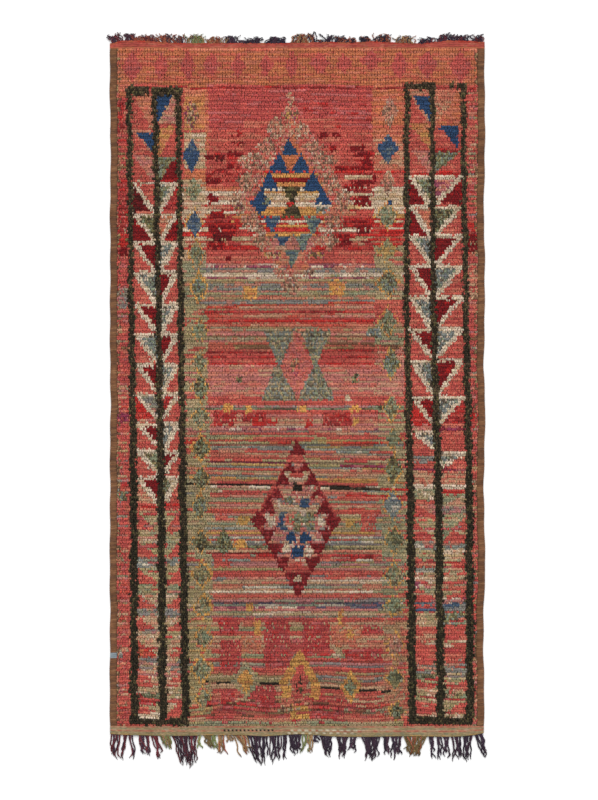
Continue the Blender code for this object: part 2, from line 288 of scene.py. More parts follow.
def line(left, y_left, right, y_right, thickness):
    y = y_left + (X_STRAIGHT - left) / (right - left) * (y_right - y_left)
    return (X >= left) & (X < right) & (np.abs(Y_STRAIGHT - y) <= thickness / 2)


def stretches(share, longest):
    """Tufts taken in runs along each lay, about this share of them all."""
    run = np.cumsum(rng.random(chart.shape) < 1.0 / longest, axis=1)
    taken = rng.random((lays, ends + 1)) < share
    return np.take_along_axis(taken, run, axis=1)


def between(places, low, high):
    return (places > low) & (places < high)


def lays_between(top, bottom):
    """Numbers of the lays between two heights of the photo."""
    return np.flatnonzero(between(ROW_Y[:, 0], top, bottom))


# %% Tables of blocks, and streaks along one lay
def tie_blocks(blocks, kept=None):
    """Tie blocks of the chart; kept is the share of their tufts that wear has left."""
    for left, top, right, bottom, blend in blocks:
        worn = True if kept is None else rng.random(chart.shape) < kept
        tie(block(left, top, right, bottom) & worn, blend)


def streak(lay, sides, blends, share, run, longest, fleck):
    """Tie one blend, picked by chance, over some stretches of one lay."""
    this_lay = (np.arange(lays) == lay)[:, None] & sides
    tie(this_lay & stretches(share, run), str(rng.choice(blends)), longest, fleck)

# %% [markdown]
# The field is laid first, as wide stripes, because the later shapes are tied over it. Each
# list gives where the stripes start, how far they run across, and then one blend for each
# knot row, with a star and a number where a blend goes on for several rows.

# %% Stripes of the field
STRIPES = (
    (44, 110, 486, "coral_field orange_rose orange_field*8"),
    (53, 110, 158, "orange_rose*7"),
    (53, 432, 486, "orange_rose*7"),
    (86, 110, 486, "coral_field*150"),
    (86, 184, 206, "orange_field*2 gold*8"),
    (132, 184, 206, "sand*8 orange_rose*4"),
    (86, 372, 404, "orange_field*9 orange_rose*3 peach*7"),
    (86, 206, 372, "rose_field*10 coral_field*13"),
    (120, 244, 340, "soft_coral*14"),
    (187, 182, 244, "orange_rose cream blush cream shell cream gold"),
    (187, 346, 404, "cream butter sand cream butter shell"),
    (214, 182, 404, "gold gold scarlet cream scarlet sand candy scarlet"),
    (250, 182, 404, "soft_coral*3 berry_dots rain cream straw"),
    (281, 182, 404, "moss_coral rain lime moss_coral rain blush moss_coral"),
    (312.5, 182, 404, "candy coral_field candy"),
    (326, 182, 404, "moss_coral blush moss_coral blush"),
    (343, 182, 404, "husk husk husk"),
    (350, 182, 404, "coral_field*3 shell"),
    (366, 182, 404, "dusty dusty blush dusty dusty blush dusty"),
    (400, 182, 404, "coral_field pine coral_field dusty shell dusty"),
    (426, 182, 404, "berry_dots dusty coral_field fire soft_coral"),
    (445, 182, 404, "rain coral_field shell coral_field ochre_sage"),
    (464, 182, 404, "ochre_sage shell shell gold soft_coral"),
    (485, 182, 404, "cream sand rain lime moss_coral fire fire"),
    (513, 182, 404, "straw shell lime straw ochre_sage"),
    (535, 182, 404, "rain straw rain_pink lime coral_field"),
    (557, 182, 404,
     "soft_coral rain_pink ochre_sage coral_field rain shell moss_coral ochre_sage soft_coral"),
    (597, 182, 404, "rain_pink sky rain_pink sand rain"),
    (618, 182, 404, "coral_field shell straw coral_field sand shell"),
    (645, 182, 404, "shell coral_field straw coral_field rain_pink rain"),
    (668, 182, 404, "coral_field moss_coral straw moss_coral shell"),
    (690, 182, 404, "coral_field moss_coral shell candy moss_coral coral_field shell straw shell"),
)
# How long the runs of one yarn are, and how far its colour stands out in the stripe
BROAD_STREAKS = (7.0, 0.55)
FINE_STREAKS = (16.0, 0.6)
LOWER_HALF = 420
ROW_PX = (ROW_Y[-1, 0] - ROW_Y[0, 0]) / (lays - 1) * LAYS_IN_A_ROW


def lay_stripes(top, left, right, blends):
    """Tie a list of blends, one to each knot row, from the top down."""
    at = top
    for word in blends.split():
        blend, _, times = word.partition("*")
        deep = int(times or 1) * ROW_PX
        tie((ROW_Y >= at) & (ROW_Y < at + deep) & (X >= left) & (X < right), blend,
            *(FINE_STREAKS if at > LOWER_HALF else BROAD_STREAKS))
        at += deep


for stripes in STRIPES:
    lay_stripes(*stripes)

# %% [markdown]
# Below the middle the weaver changed yarn with almost every lay, so thin streaks run through
# the stripes. Each lay gets one more blend, tied over some stretches of it and not over others.

# %% Thin streaks in the lower field
STREAK_BLENDS = ("rain", "rain_pink", "shell", "straw", "ochre_sage", "soft_coral", "coral_field",
                 "blush", "sand", "sky", "coral_field")
STREAK_SPAN = (430, 612)
STREAK_SIDES = (206, 404)
for lay in lays_between(*STREAK_SPAN):
    streak(lay, between(X, *STREAK_SIDES), STREAK_BLENDS, share=0.45, run=24.0, longest=9.0, fleck=0.5)

# %% Strips under the small diamonds, where the wool turns paler
STRIPS = (
    # left, right, top, bottom, blend, share of the tufts that it takes
    (182, 206, 178, 262, "sand", 0.6), (182, 206, 262, 300, "lime", 0.7),
    (184, 208, 300, 410, "straw", 0.65), (182, 210, 410, 500, "straw", 0.65),
    (182, 212, 500, 612, "straw", 0.8), (184, 212, 612, 716, "ochre_sage", 0.7),
    (374, 404, 190, 222, "butter", 0.8), (374, 404, 222, 245, "candy", 0.5),
    (374, 404, 245, 300, "straw", 0.6), (374, 404, 300, 323, "soft_coral", 0.9),
    (374, 404, 323, 345, "lime", 0.6), (376, 404, 345, 400, "blush", 0.55),
    (378, 406, 410, 500, "straw", 0.5), (382, 408, 500, 612, "lime", 0.55),
    (384, 410, 612, 716, "moss_coral", 0.7),
)
STRIP_RUN = 8.0
for left, right, top, bottom, blend, share in STRIPS:
    tie(block(left, top, right, bottom) & stretches(share, STRIP_RUN), blend, longest=5.0, fleck=0.35)

# %% Red haze where a darker dye lot comes in
HAZE = (
    # left, top, right, bottom, share of the tufts that it takes
    (206, 150, 244, 182, 0.35), (206, 205, 240, 250, 0.4), (348, 150, 374, 212, 0.45),
    (330, 214, 374, 250, 0.4), (290, 96, 372, 130, 0.1),
)
HAZE_RUN = 6.0
for left, top, right, bottom, share in HAZE:
    tie(block(left, top, right, bottom) & stretches(share, HAZE_RUN), "blood")

# %% Blocks of odd wool in the field
PATCHES = (
    # left, top, right, bottom, blend
    (232, 134, 235, 137, "wine"), (237, 131, 243, 136, "wine"), (231, 141, 235, 145, "wine"),
    (205.5, 155, 224.5, 160.5, "dark_wine"), (227, 152, 240, 157, "wine"),
    (228, 158, 238, 164, "blood"), (236, 165, 247, 170, "blood"), (238, 172, 247, 177, "blood"),
    (207, 177, 220.5, 185, "wine"), (208, 194, 218, 203, "wine"), (210, 211, 224, 220, "wine"),
    (209, 223, 236, 234, "wine"), (213, 234, 232, 241, "dark_wine"), (209, 241, 226, 249, "wine"),
    (318, 133, 327, 138, "wine"), (332, 133, 340, 138, "wine"), (324, 146, 327, 149, "wine"),
    (329, 145.5, 337, 151, "wine"), (351, 145.5, 365, 151, "wine"), (354, 153, 372, 158, "wine"),
    (361, 159, 372, 166, "wine"), (335, 166, 372, 172, "wine"), (351, 174, 376, 185, "wine"),
    (344, 185, 364, 190, "wine"), (354, 196, 371, 206, "wine"), (353, 218, 371, 229, "wine"),
    (357, 229, 369, 235, "dark_wine"), (334, 235, 351, 245, "wine"), (357, 210, 374, 217, "coral"),
    (226, 257, 231, 260, "wine"), (237, 141, 243, 145, "wine"), (228, 165, 234, 169, "wine"),
    (243, 281, 254, 287, "stone"), (330, 275, 343, 281, "stone"), (367, 328, 381, 337, "slate"),
    (236, 376, 242, 384, "lichen"), (352, 375, 358, 383, "lichen"),
    (325, 572, 345, 580, "coral_field"), (214, 560, 232, 568, "coral_field"),
    (350, 590, 372, 598, "coral_field"),
    (214, 411, 236, 425, "blood"), (243, 412, 266, 421, "blood"), (252, 420, 277, 426, "scarlet"),
    (305, 420, 313, 427, "scarlet"), (323, 413, 351, 426, "blood"), (345, 395, 351, 401, "cream"),
    (216, 514, 227, 521, "coral_field"), (237, 515, 250, 525, "ochre"), (346, 520, 354, 528, "ochre"),
    (361, 514, 376, 533, "coral_field"), (219, 618, 239, 633, "crimson"),
    (220, 640, 241, 672, "crimson"), (264, 619, 290, 668, "crimson"), (288, 638, 304, 664, "rose_field"),
    (303, 620, 330, 656, "crimson"), (345, 648, 382, 660, "crimson"), (361, 625, 382, 634, "crimson"),
    (221, 690, 234, 712, "crimson"), (250, 686, 276, 706, "crimson"), (312, 700, 344, 716, "crimson"),
    (240, 634, 262, 653, "peach"), (331, 625, 363, 646, "peach"), (334, 646, 342, 659, "sand"),
    (281, 704, 296, 712, "plum"),
    (388, 200, 392, 204, "indigo"),
)
BOTTOM_FIELD = (206, 694, 384, 722)
tie(block(*BOTTOM_FIELD) & stretches(share=0.4, longest=9.0), "crimson")
tie_blocks(PATCHES, kept=0.9)

# %% Single lines, which slope where the rows run out of square
LINES = (
    # left, y at left, right, y at right, thickness, blend
    (118, 88, 476, 88, 2.2, "blood"), (290, 172.5, 476, 172.5, 3.4, "scarlet"),
    (345, 177.6, 372, 177.6, 3.0, "sand"), (272, 172.4, 310, 172.4, 3.0, "scarlet"),
    (206, 313, 374, 313, 2.2, "blood"), (206, 321, 374, 321, 2.2, "scarlet"),
    (300, 318, 374, 316, 2.0, "blush"), (206, 352, 374, 351, 2.4, "blood"),
    (206, 358, 374, 358, 2.4, "blood"), (206, 364, 374, 364, 2.4, "scarlet"),
    (206, 406.5, 374, 406.5, 2.0, "rain_pink"), (206, 446.5, 300, 448, 2.4, "sky"),
    (300, 448, 376, 454, 2.4, "sky"), (206, 461, 404, 467, 1.8, "berry"),
    (112, 482.6, 300, 485.5, 2.5, "night"), (300, 485.5, 381, 489.5, 2.9, "night"),
    (381, 489.5, 464, 491.5, 2.5, "scarlet"), (345, 494.5, 464, 497, 2.3, "scarlet"),
    (206, 532, 374, 532, 2.2, "ochre"), (206, 537, 374, 538, 2.2, "sky"),
    (206, 542, 374, 543, 2.2, "sky"), (206, 547, 374, 548, 2.4, "pepper"),
    (206, 553, 374, 557, 2.8, "blood"), (300, 580.5, 404, 580.5, 2.8, "cream"),
    (206, 592, 374, 592, 2.2, "cream"), (314, 602.5, 346, 602.5, 2.4, "blue_rose"),
    (346, 604, 385, 604, 4.4, "blue_thread"),
    (312, 607, 404, 607, 2.2, "blue_rose"), (206, 603, 312, 602.5, 2.2, "blue_rose"),
    (206, 608.5, 312, 608, 2.2, "berry_dots"), (206, 616, 404, 616, 2.4, "rain_pink"),
    (206, 682, 290, 684, 1.5, "night"), (316, 686.5, 392, 691.5, 1.6, "night"),
    (206, 706, 256, 700, 1.4, "thread"), (206, 715.5, 300, 715.5, 1.4, "thread"),
    (256, 700, 380, 706, 1.4, "thread"), (310, 709, 380, 712, 1.4, "thread"),
    (223, 428, 374, 429, 2.4, "berry_dots"), (440, 723.5, 477, 723.5, 2.4, "cream"),
    (316, 677, 392, 680, 4.4, "rain"), (206, 266, 374, 266, 2.4, "berry_dots"),
    (206, 279, 374, 279, 2.4, "berry_dots"), (206, 285, 374, 284, 2.2, "rain"),
    (206, 291, 374, 290, 2.2, "blush"), (206, 307, 374, 303, 2.4, "fire"),
    (330, 219, 404, 219, 1.8, "scarlet"), (326, 224, 404, 224, 1.8, "scarlet"),
    (322, 229.5, 404, 230, 1.8, "scarlet"), (368, 235, 404, 235, 1.8, "scarlet"),
    (368, 239, 404, 239, 1.8, "scarlet"), (374, 243.5, 404, 243.5, 1.8, "scarlet"),
    (184, 219, 244, 219, 1.8, "scarlet"), (184, 224, 246, 224, 1.8, "scarlet"),
    (184, 229.5, 248, 230, 1.8, "scarlet"), (184, 235, 214, 235, 1.8, "scarlet"),
)
for left, y_left, right, y_right, thickness, blend in LINES:
    tie(line(left, y_left, right, y_right, thickness), blend)

# %% Ochre blocks and crosses tied over the lines
OCHRE_BLOCKS = (
    # left, top, right, bottom
    (243, 287, 257, 300), (329, 281, 344, 296), (296, 405, 306, 411), (224, 403, 230, 413),
    (221, 406, 233, 410), (246, 405, 252, 414), (352, 404, 358, 414), (349, 407, 361, 411),
    (352, 418, 358, 426), (254, 620, 261, 635), (347, 628, 354, 638), (233, 540, 246, 548),
    (338, 610, 343, 624), (246, 602, 254, 610),
)
tie_blocks([(*corners, "amber") for corners in OCHRE_BLOCKS], kept=0.92)

# %% [markdown]
# The two side borders are ladders of black goat-hair bars with a column of triangles between
# each pair. Each triangle is half of a cell cut from corner to corner. The upper half carries
# the colour, and on the old part of the rug a row of ivory wool runs round it.

# %% Margins outside the bars
MARGINS = (
    # left, top, right, bottom, blend
    (118, 86, 128, 98, "orange_rose"), (118, 103, 124, 132, "blood"),
    (118, 180, 128, 236, "blood"), (118, 236, 128, 247, "scarlet"), (112, 652, 122, 658, "sky"),
    (118, 247, 128, 256, "wine"), (118, 286, 128, 308, "rain_pink"), (118, 413, 128, 423, "berry"),
    (118, 490, 128, 502, "stone"), (118, 653, 124, 657, "rain"), (466, 223, 478, 231, "scarlet"),
    (466, 233, 478, 253, "wine"), (466, 268, 478, 300, "shell"), (466, 414, 478, 420, "scarlet"),
    (205, 92, 209, 150, "orange_rose"),
)
MARGIN_SIDES = (128, 468)
MARGIN_TOP = 90
left_margin, right_margin = X < MARGIN_SIDES[0], X > MARGIN_SIDES[1]
margins = (left_margin | right_margin) & (Y > MARGIN_TOP)
tie(margins & stretches(share=0.65, longest=4.0), "rose_field")
MARGIN_BLENDS = ("moss_coral", "rain_pink", "blush", "crimson", "shell", "soft_coral", "candy", "husk")
MARGIN_SHARE = 0.55
for lay in np.flatnonzero(ROW_Y[:, 0] > MARGIN_TOP):
    for margin in (left_margin, right_margin):
        if rng.random() < MARGIN_SHARE:
            streak(lay, margin, MARGIN_BLENDS, share=0.8, run=8.0, longest=3.0, fleck=0.6)
tie_blocks(MARGINS, kept=0.85)

# %% Brown wool that strays in from the side bindings
FRAYED_SIDES = (120.3, 474.4)
FRAYED_SHARE = 0.38
FRAYED_RUN = 1.5
frayed = (X < FRAYED_SIDES[0]) | (X > FRAYED_SIDES[1])
tie(frayed & stretches(FRAYED_SHARE, FRAYED_RUN), "umber", FRAYED_RUN)

# %% The four columns of triangles
BAR_Y = (85, 300, 500, 725)
BAR_X = {
    "l1": (129.2, 131.6, 134, 134.5), "l2": (154.8, 158.4, 161.5, 163), "l3": (178, 180.8, 183, 185.5),
    "r1": (407, 406.5, 410.5, 412.5), "r2": (432, 433.2, 438.5, 441), "r3": (463, 465.8, 469.3, 470),
}
COLUMN_SIDES = {
    "left_1": ("l1", "l2"), "left_2": ("l2", "l3"), "right_1": ("r1", "r2"), "right_2": ("r2", "r3"),
}
TURNED = ("left_2", "right_2")
CELLS = {
    # top, bottom, blend above the cut, blend of the row round it, blend below the cut; the last
    # two may be left out, which stands for no row and for coral_field
    "left_1": (
        (94, 131, "peach"), (131, 153, "indigo", "shell"), (155, 182, "blush"),
        (182, 212, "coral_field", "cream", "dark_wine"), (213, 241, "lichen", "cream", "wine"),
        (241, 271, "wine", "cream"), (271, 303, "slate", "cream"), (303, 332, "wine", "cream"),
        (333, 362, "slate", "cream"), (363, 392, "wine", "cream"),
        (393, 419, "rain", "cream", "scarlet"), (423, 446, "wine", "cream"),
        (449, 474, "moss", "cream"), (476, 504, "wine", "cream", "shell"), (512, 532, "straw"),
        (532, 541, "straw", "", "straw"), (541, 557, "straw"), (557, 567, "rain", "", "sky"),
        (567, 584, "straw"), (584, 594, "lime", "", "lime"), (594, 608, "sand"),
        (608, 616, "rain", "", "rain"), (616, 631, "sand"), (631, 640, "sand", "", "sand"),
        (640, 657, "sand", "", "fire"), (657, 664, "rain", "", "rain"), (664, 686, "sand"),
        (686, 693, "sand", "", "sand"), (693, 704, "pepper", "", "blood"), (704, 713, "straw"),
        (713, 720, "cream", "", "cream"),
    ),
    "left_2": (
        (94, 124, "indigo", "shell", "blush"), (128, 157, "gold"), (158, 182, "stone", "", "wine"),
        (182, 212, "stone", "cream", "blood"), (213, 241, "peach", "cream", "wine"),
        (241, 271, "slate", "cream"), (271, 302, "wine", "cream"), (303, 333, "slate", "cream"),
        (333, 362, "wine", "cream"), (363, 392, "slate", "cream"), (392, 419, "blood", "cream"),
        (421, 451, "slate", "cream"), (451, 474, "wine", "cream"), (476, 502, "moss", "cream"),
        (509, 532, "straw"), (532, 541, "straw", "", "straw"), (541, 557, "lime"),
        (557, 566, "rain", "", "sky"), (566, 584, "straw"), (584, 594, "lime", "", "lime"),
        (594, 608, "sand"), (608, 618, "rain", "", "rain"), (618, 631, "sand"),
        (631, 648, "straw", "", "sand"), (648, 657, "sand"), (657, 672, "sand", "", "rain"),
        (672, 686, "sand"), (686, 698, "sand", "", "straw"), (698, 716, "sand"),
    ),
    "right_1": (
        (88, 94, "peach", "", "peach"), (94, 122, "indigo", "shell"), (124, 150, "gold"),
        (150, 173, "blush"), (176, 204, "stone", "cream", "wine"), (204, 235, "peach", "cream", "wine"),
        (235, 263, "slate", "cream"), (264, 296, "wine", "cream"), (296, 328, "slate", "cream"),
        (328, 359, "wine", "cream"), (360, 394, "slate", "cream"),
        (396, 424, "wine", "cream", "scarlet"), (424, 430, "blush", "", "blush"),
        (430, 449, "slate", "cream"), (456, 462, "rain", "", "rain"), (468, 471, "berry", "", "berry"),
        (472, 485, "shell", "", "shell"), (485, 500, "lime", "cream", "lime"), (504, 515, "blush"),
        (520, 541, "straw"), (541, 549, "rain", "", "sky"), (549, 556, "straw", "", "straw"),
        (556, 568, "lime"), (568, 572, "sky", "", "sky"), (572, 587, "sand", "", "berry_dots"),
        (587, 598, "lime"), (602, 605, "denim", "", "denim"), (607, 610, "denim", "", "denim"),
        (612, 626, "straw", "", "sand"), (626, 633, "coral_field"), (633, 642, "shell", "", "shell"),
        (642, 664, "coral_field"), (664, 674, "rain", "", "rain"), (674, 678, "pepper", "", "pepper"),
        (678, 688, "straw"), (688, 703, "sand", "", "straw"), (703, 714, "coral_field"),
        (714, 718, "sand", "", "sand"),
    ),
    "right_2": (
        (90, 126, "peach", "", "orange_rose"), (148, 152, "blood", "", "blood"), (152, 172, "stone"),
        (176, 204, "berry_dots", "cream", "wine"), (206, 235, "lichen", "cream"),
        (235, 265, "wine", "cream"), (265, 296, "slate", "cream"), (296, 327, "wine", "cream"),
        (327, 357, "slate", "cream"), (358, 393, "wine", "cream"),
        (396, 423, "slate", "cream", "blood"), (427, 431, "berry", "", "berry"),
        (432, 452, "coral_field"), (452, 468, "slate", "cream"), (468, 471, "berry", "", "berry"),
        (472, 485, "shell", "", "shell"), (485, 490, "cream", "", "cream"),
        (494, 506, "lime", "", "sand"), (506, 514, "rain_pink", "", "rain_pink"), (514, 542, "lime"),
        (543, 549, "rain", "", "sky"), (549, 557, "sand", "", "sand"), (557, 568, "straw"),
        (568, 576, "lime", "", "lime"), (576, 588, "sand", "", "moss_coral"), (588, 598, "straw"),
        (598, 603, "cream", "", "berry_dots"), (603, 611, "denim", "", "rain"),
        (612, 625, "stone", "", "stone"), (626, 663, "coral_field"), (663, 673, "rain", "", "rain"),
        (673, 678, "sand", "", "sand"), (678, 692, "straw"), (692, 700, "moss", "", "moss"),
        (700, 713, "straw"), (713, 718, "sand", "", "sand"),
    ),
}
ROUND_PX = 3.3
THIN_ROUND_PX = 1.4
# How ragged the row round a triangle is, and its share along the cut and along the top
ROUND_RAGGED = (0.75, 1.15)
ROUND_AT_CUT = 0.85
ROUND_AT_TOP = 1.2
# The cut starts and ends this far inside the bars
CUT_INSET = 3.0
LOWER_RUN = 4.0


def bar_x(name):
    """Middle of one goat-hair bar, at each knot."""
    return np.interp(Y, BAR_Y, BAR_X[name])


def tie_cell(column, top, bottom, above, round_it="", below="coral_field"):
    """Tie one cell of a column of triangles, cut from corner to corner."""
    first, second = COLUMN_SIDES[column]
    left, right = bar_x(first), bar_x(second)
    inside = (X > left) & (X < right) & (Y >= top) & (Y < bottom)
    share = np.clip((Y - top) / (bottom - top), 0.0, 1.0)
    if column in TURNED:
        beyond = right - CUT_INSET - (right - left - 2 * CUT_INSET) * share - X
    else:
        beyond = X - (left + CUT_INSET + (right - left - 2 * CUT_INSET) * share)
    tie(inside & (beyond >= 0), above)
    tie(inside & (beyond < 0), below, LOWER_RUN)
    if round_it:
        wide = ROUND_PX if round_it == "cream" else THIN_ROUND_PX
        ragged = wide * rng.uniform(*ROUND_RAGGED, chart.shape)
        at_cut = np.abs(beyond) < ragged * ROUND_AT_CUT
        tie(inside & (at_cut | (Y < top + ragged * ROUND_AT_TOP)), round_it)


for column, cells in CELLS.items():
    for cell in cells:
        tie_cell(column, *cell)

# %% Streaks, small wedges and lines in the columns
PANEL_BLENDS = ("coral_field", "blush", "sand", "rain_pink", "shell", "crimson")
PANEL_SPAN = (512, 716)
LEFT_PANEL = (132, 185)
RIGHT_PANEL = (410, 468)
panels = between(X, *LEFT_PANEL) | between(X, *RIGHT_PANEL)
for lay in lays_between(*PANEL_SPAN):
    streak(lay, panels, PANEL_BLENDS, share=0.22, run=7.0, longest=4.0, fleck=0.5)
BLUE_CORNERS = ((441, 458, 126, 458, 149), (438, 443, 131, 441, 126))
for corner in BLUE_CORNERS:
    tie(wedge(*corner), "indigo")
COLUMN_LINES = (
    # left, right, y, blend
    (139, 157, 420.5, "blush"), (139, 157, 506, "scarlet"), (165, 181, 504.5, "scarlet"),
    (412, 460, 173.5, "scarlet"), (443, 464, 491.5, "scarlet"),
)
COLUMN_LINE_PX = 2.6
for left, right, y, blend in COLUMN_LINES:
    tie(line(left, y, right, y, COLUMN_LINE_PX), blend)

# %% [markdown]
# The black bars stand taller and rougher than the rest. They are goat hair over wool, with
# an olive cast where the sun has reached them, so the upper half uses a more mixed blend.

# %% Goat-hair bars
BAR_HALF_PX = (2.4, 2.6, 3.5, 3.7)
CROSSBARS = (
    # left, top, right, bottom
    (126, 87, 149, 95), (152, 87, 183, 95), (405, 83.5, 436, 89), (449.5, 82.5, 453.5, 88.6),
    (457, 83.5, 466.5, 89), (130, 718.5, 189.5, 725), (412, 717, 472, 723.5),
)
# The bars' sway and its pitch down the rug, their ragged edge, and where they start and end
BAR_SWAY = 0.5
BAR_SWAY_PITCH = 9.0
BAR_PHASE = 3.0
BAR_RAGGED = 0.7
BAR_SPAN = (88, 722)
DEEP_GOAT_BELOW = 470
half = np.interp(Y, BAR_Y, BAR_HALF_PX)
bars = np.zeros(chart.shape, bool)
for name in BAR_X:
    sway = BAR_SWAY * np.sin(Y / BAR_SWAY_PITCH + BAR_PHASE * BAR_X[name][0])
    sway = sway + rng.uniform(-BAR_RAGGED, BAR_RAGGED, chart.shape)
    bars |= (np.abs(X - bar_x(name) - sway) < half) & between(Y, *BAR_SPAN)
for left, top, right, bottom in CROSSBARS:
    bars |= block(left, top, right, bottom)
tie(bars & (Y < DEEP_GOAT_BELOW), "goat")
tie(bars & (Y >= DEEP_GOAT_BELOW), "deep_goat")
print("goat-hair tufts", int(bars.sum()))

# %% [markdown]
# The small diamonds between border and field are tied a little loose, with flecks of every
# leftover colour. Some have a whole ochre edge, and on most of the others it is half worn.

# %% Small diamonds down both sides of the field
DIAMONDS = (
    # x, y, width, height, blend, and a word where the ochre edge is whole
    (191.5, 115, 15, 34, "plum"), (192, 155, 17, 36, "blue"), (193, 190, 17, 27, "moss"),
    (194.5, 224, 16, 28, "denim"), (196.5, 254, 16, 26, "moss"),
    (199, 288, 16, 27, "stone", "edged"),
    (200, 331, 15, 22, "moss"), (200, 363, 15, 22, "moss"), (200.5, 388, 17, 23, "lichen"),
    (200, 417, 18, 21, "moss"), (201, 448, 19, 22, "lichen", "edged"),
    (201, 478, 17, 23, "lichen"),
    (200, 507, 16, 24, "stone"), (201, 542, 18, 21, "lichen"),
    (202, 574, 20, 23, "moss", "edged"),
    (203, 607, 18, 21, "moss", "edged"), (203.5, 638, 17, 22, "moss"),
    (202, 669, 20, 23, "moss", "edged"),
    (203, 698, 14, 18, "moss"), (389.5, 112, 18, 32, "bark"), (388, 149, 21, 31, "blue"),
    (388, 182, 16, 25, "bark"), (387, 216, 21, 25, "moss"),
    (387, 250, 20, 24, "ochre sage khaki ochre sage"),
    (388, 283, 22, 26, "stone"), (388, 321, 18, 27, "moss"), (391, 363, 18, 31, "stone"),
    (391.5, 408, 15, 24, "moss"), (393, 439, 17, 19, "pine"), (393, 469, 18, 30, "lichen"),
    (392.6, 505, 18, 30, "steel indigo steel ivory steel sage"), (394, 540, 20, 26, "pine"),
    (394.6, 575, 21, 25, "moss"),
    (394.6, 606, 20, 19, "moss"), (395, 645, 17, 24, "bark"), (395, 678, 17, 22, "pine"),
    (397, 711, 15, 21, "lichen"), (224, 542, 16, 30, "lichen"),
    (246, 680, 32, 38, "straw"), (246, 681, 19, 25, "amber"), (350.5, 687, 22, 34, "amber"),
    (350.5, 687, 12, 17, "moss"),
)
# How much wider and taller the edge is, the share of it that is left, and where it is left
EDGE_PX = (5, 7)
WHOLE_EDGE = 0.95
WORN_EDGE = 0.5
WORN_EDGES_BELOW = 200
INNER_FIELD = (210, 380)
for x, y, width, height, blend, *edge in DIAMONDS:
    if edge or (y > WORN_EDGES_BELOW and not INNER_FIELD[0] < x < INNER_FIELD[1]):
        loose = rng.random(chart.shape) < (WHOLE_EDGE if edge else WORN_EDGE)
        tie(lozenge(x, y, width + EDGE_PX[0], height + EDGE_PX[1]) & loose, "amber")
for x, y, width, height, blend, *edge in DIAMONDS:
    tie(lozenge(x, y, width, height), blend)
UPPER_LOZENGES = (
    # x, y, width, height
    (132, 67, 22, 30), (161, 67, 17, 28), (188, 66, 16, 32), (211.5, 65, 18, 25), (238, 66, 17, 25),
    (266, 66, 16, 24), (292, 65, 15, 30), (320, 63, 22, 23), (344, 63, 18, 22), (371, 61, 24, 20),
    (399.5, 66, 18, 30), (427, 64, 23, 28), (460, 67, 23, 33),
)
for place in UPPER_LOZENGES:
    tie(lozenge(*place), "rose coral coral coral pink", fleck=0.3)

# %% [markdown]
# The upper medallion is a hexagon of blue triangles in two flights of steps, with a broken
# band of flecked blocks round it and bright stripes inside.

# %% Upper medallion: its ground and stripes
UPPER_GROUND = (
    # x, y, width and height of a lozenge, share and run of its stretches, blend, run of a yarn
    (291, 192, 96, 168, 0.85, 3.0, "soft_coral", 4.0), (291, 194, 114, 192, 0.5, 2.0, "dusty", 2.0),
    (291, 194, 112, 190, 0.3, 1.5, "bark", SHORT_RUN),
)
UPPER_HEART = (292, 190, 70, 110)
for x, y, width, height, share, run, blend, longest in UPPER_GROUND:
    tie(lozenge(x, y, width, height) & stretches(share, run), blend, longest)
tie(lozenge(*UPPER_HEART), "orange_field")
HEART = (
    # left, top, right, bottom, blend
    (262, 170.5, 318, 173.8, "scarlet"), (264, 173.8, 318, 178.8, "brass"),
    (266, 178.8, 317, 181.2, "wine"),
    (262, 181.2, 321, 187, "brass"), (262, 187, 321, 190.2, "cream"), (260, 190.2, 324, 193, "brass"),
    (258, 193, 326, 199.5, "butter"), (258, 199.5, 326, 203, "shell"), (256, 203, 328, 206.5, "cream"),
    (256, 206.5, 328, 217, "brass"), (258, 217, 324, 220, "scarlet"), (260, 220, 322, 222, "cream"),
    (260, 222, 322, 225.5, "scarlet"), (262, 225.5, 320, 228, "brass"), (264, 228, 318, 231.5, "scarlet"),
    (266, 231.5, 316, 236, "brass"), (272, 236, 312, 250, "blush"), (280, 250, 304, 262, "peach"),
)
for left, top, right, bottom, blend in HEART:
    middle_y = (top + bottom) / 2
    tie(line(left, middle_y, right, middle_y, bottom - top), blend)
HEART_WEDGES = (
    # left and right end of the base, its height, then the apex, and the blend
    (281, 298, 156, 289, 169, "orange"), (281, 302, 186.5, 291.5, 203, "soot"),
    (282, 302, 217, 292.5, 198, "soot"), (262, 281, 217, 273, 233, "blue"),
    (303, 322, 217, 313, 236, "teal"), (274, 292, 235.6, 281.5, 246, "blue"),
    (294, 311, 235, 303, 252, "teal"), (285, 300, 250, 292.5, 268, "teal"),
    (280.5, 298.5, 156, 289, 138, "indigo"), (269.5, 289, 172, 279, 153, "indigo"),
    (292, 311, 172, 301, 154, "indigo"), (260, 279, 190, 269.5, 171.5, "indigo"),
    (303, 322, 190, 313, 171, "indigo"), (313, 332, 205, 322.6, 188.5, "indigo"),
    (251, 271, 204, 261, 188, "indigo"), (251, 269, 204, 260, 215, "indigo"),
)
for *corners, blend in HEART_WEDGES:
    tie(wedge(*corners), blend)
HEART_BITS = (
    (264, 197, 269.5, 205, "stone"), (315, 204.5, 331, 206.6, "cream"), (316, 206.6, 330, 212.5, "slate"),
    (288, 241, 297, 249, "blush"), (286, 223, 298, 225, "cream"), (286, 203, 298, 205, "scarlet"),
)
tie_blocks(HEART_BITS)

# %% Upper medallion: the broken band round it
BAND = (
    # left, top, right, bottom of each flecked block on the left side, then on the right
    (269, 119, 283, 138), (258, 141, 274, 153), (240, 154, 263, 169), (239, 174, 254, 189),
    (232, 192, 245, 213), (242, 214, 258, 229), (254, 232, 268, 249), (273, 268, 285, 277),
    (293, 125, 308, 138), (305, 141, 322, 153), (312, 154, 334, 168), (322, 174, 338, 189),
    (336, 191, 350, 212), (327, 214, 343, 229), (320, 233, 336, 249), (301, 268, 313, 277),
    (283, 279, 301, 294),
)
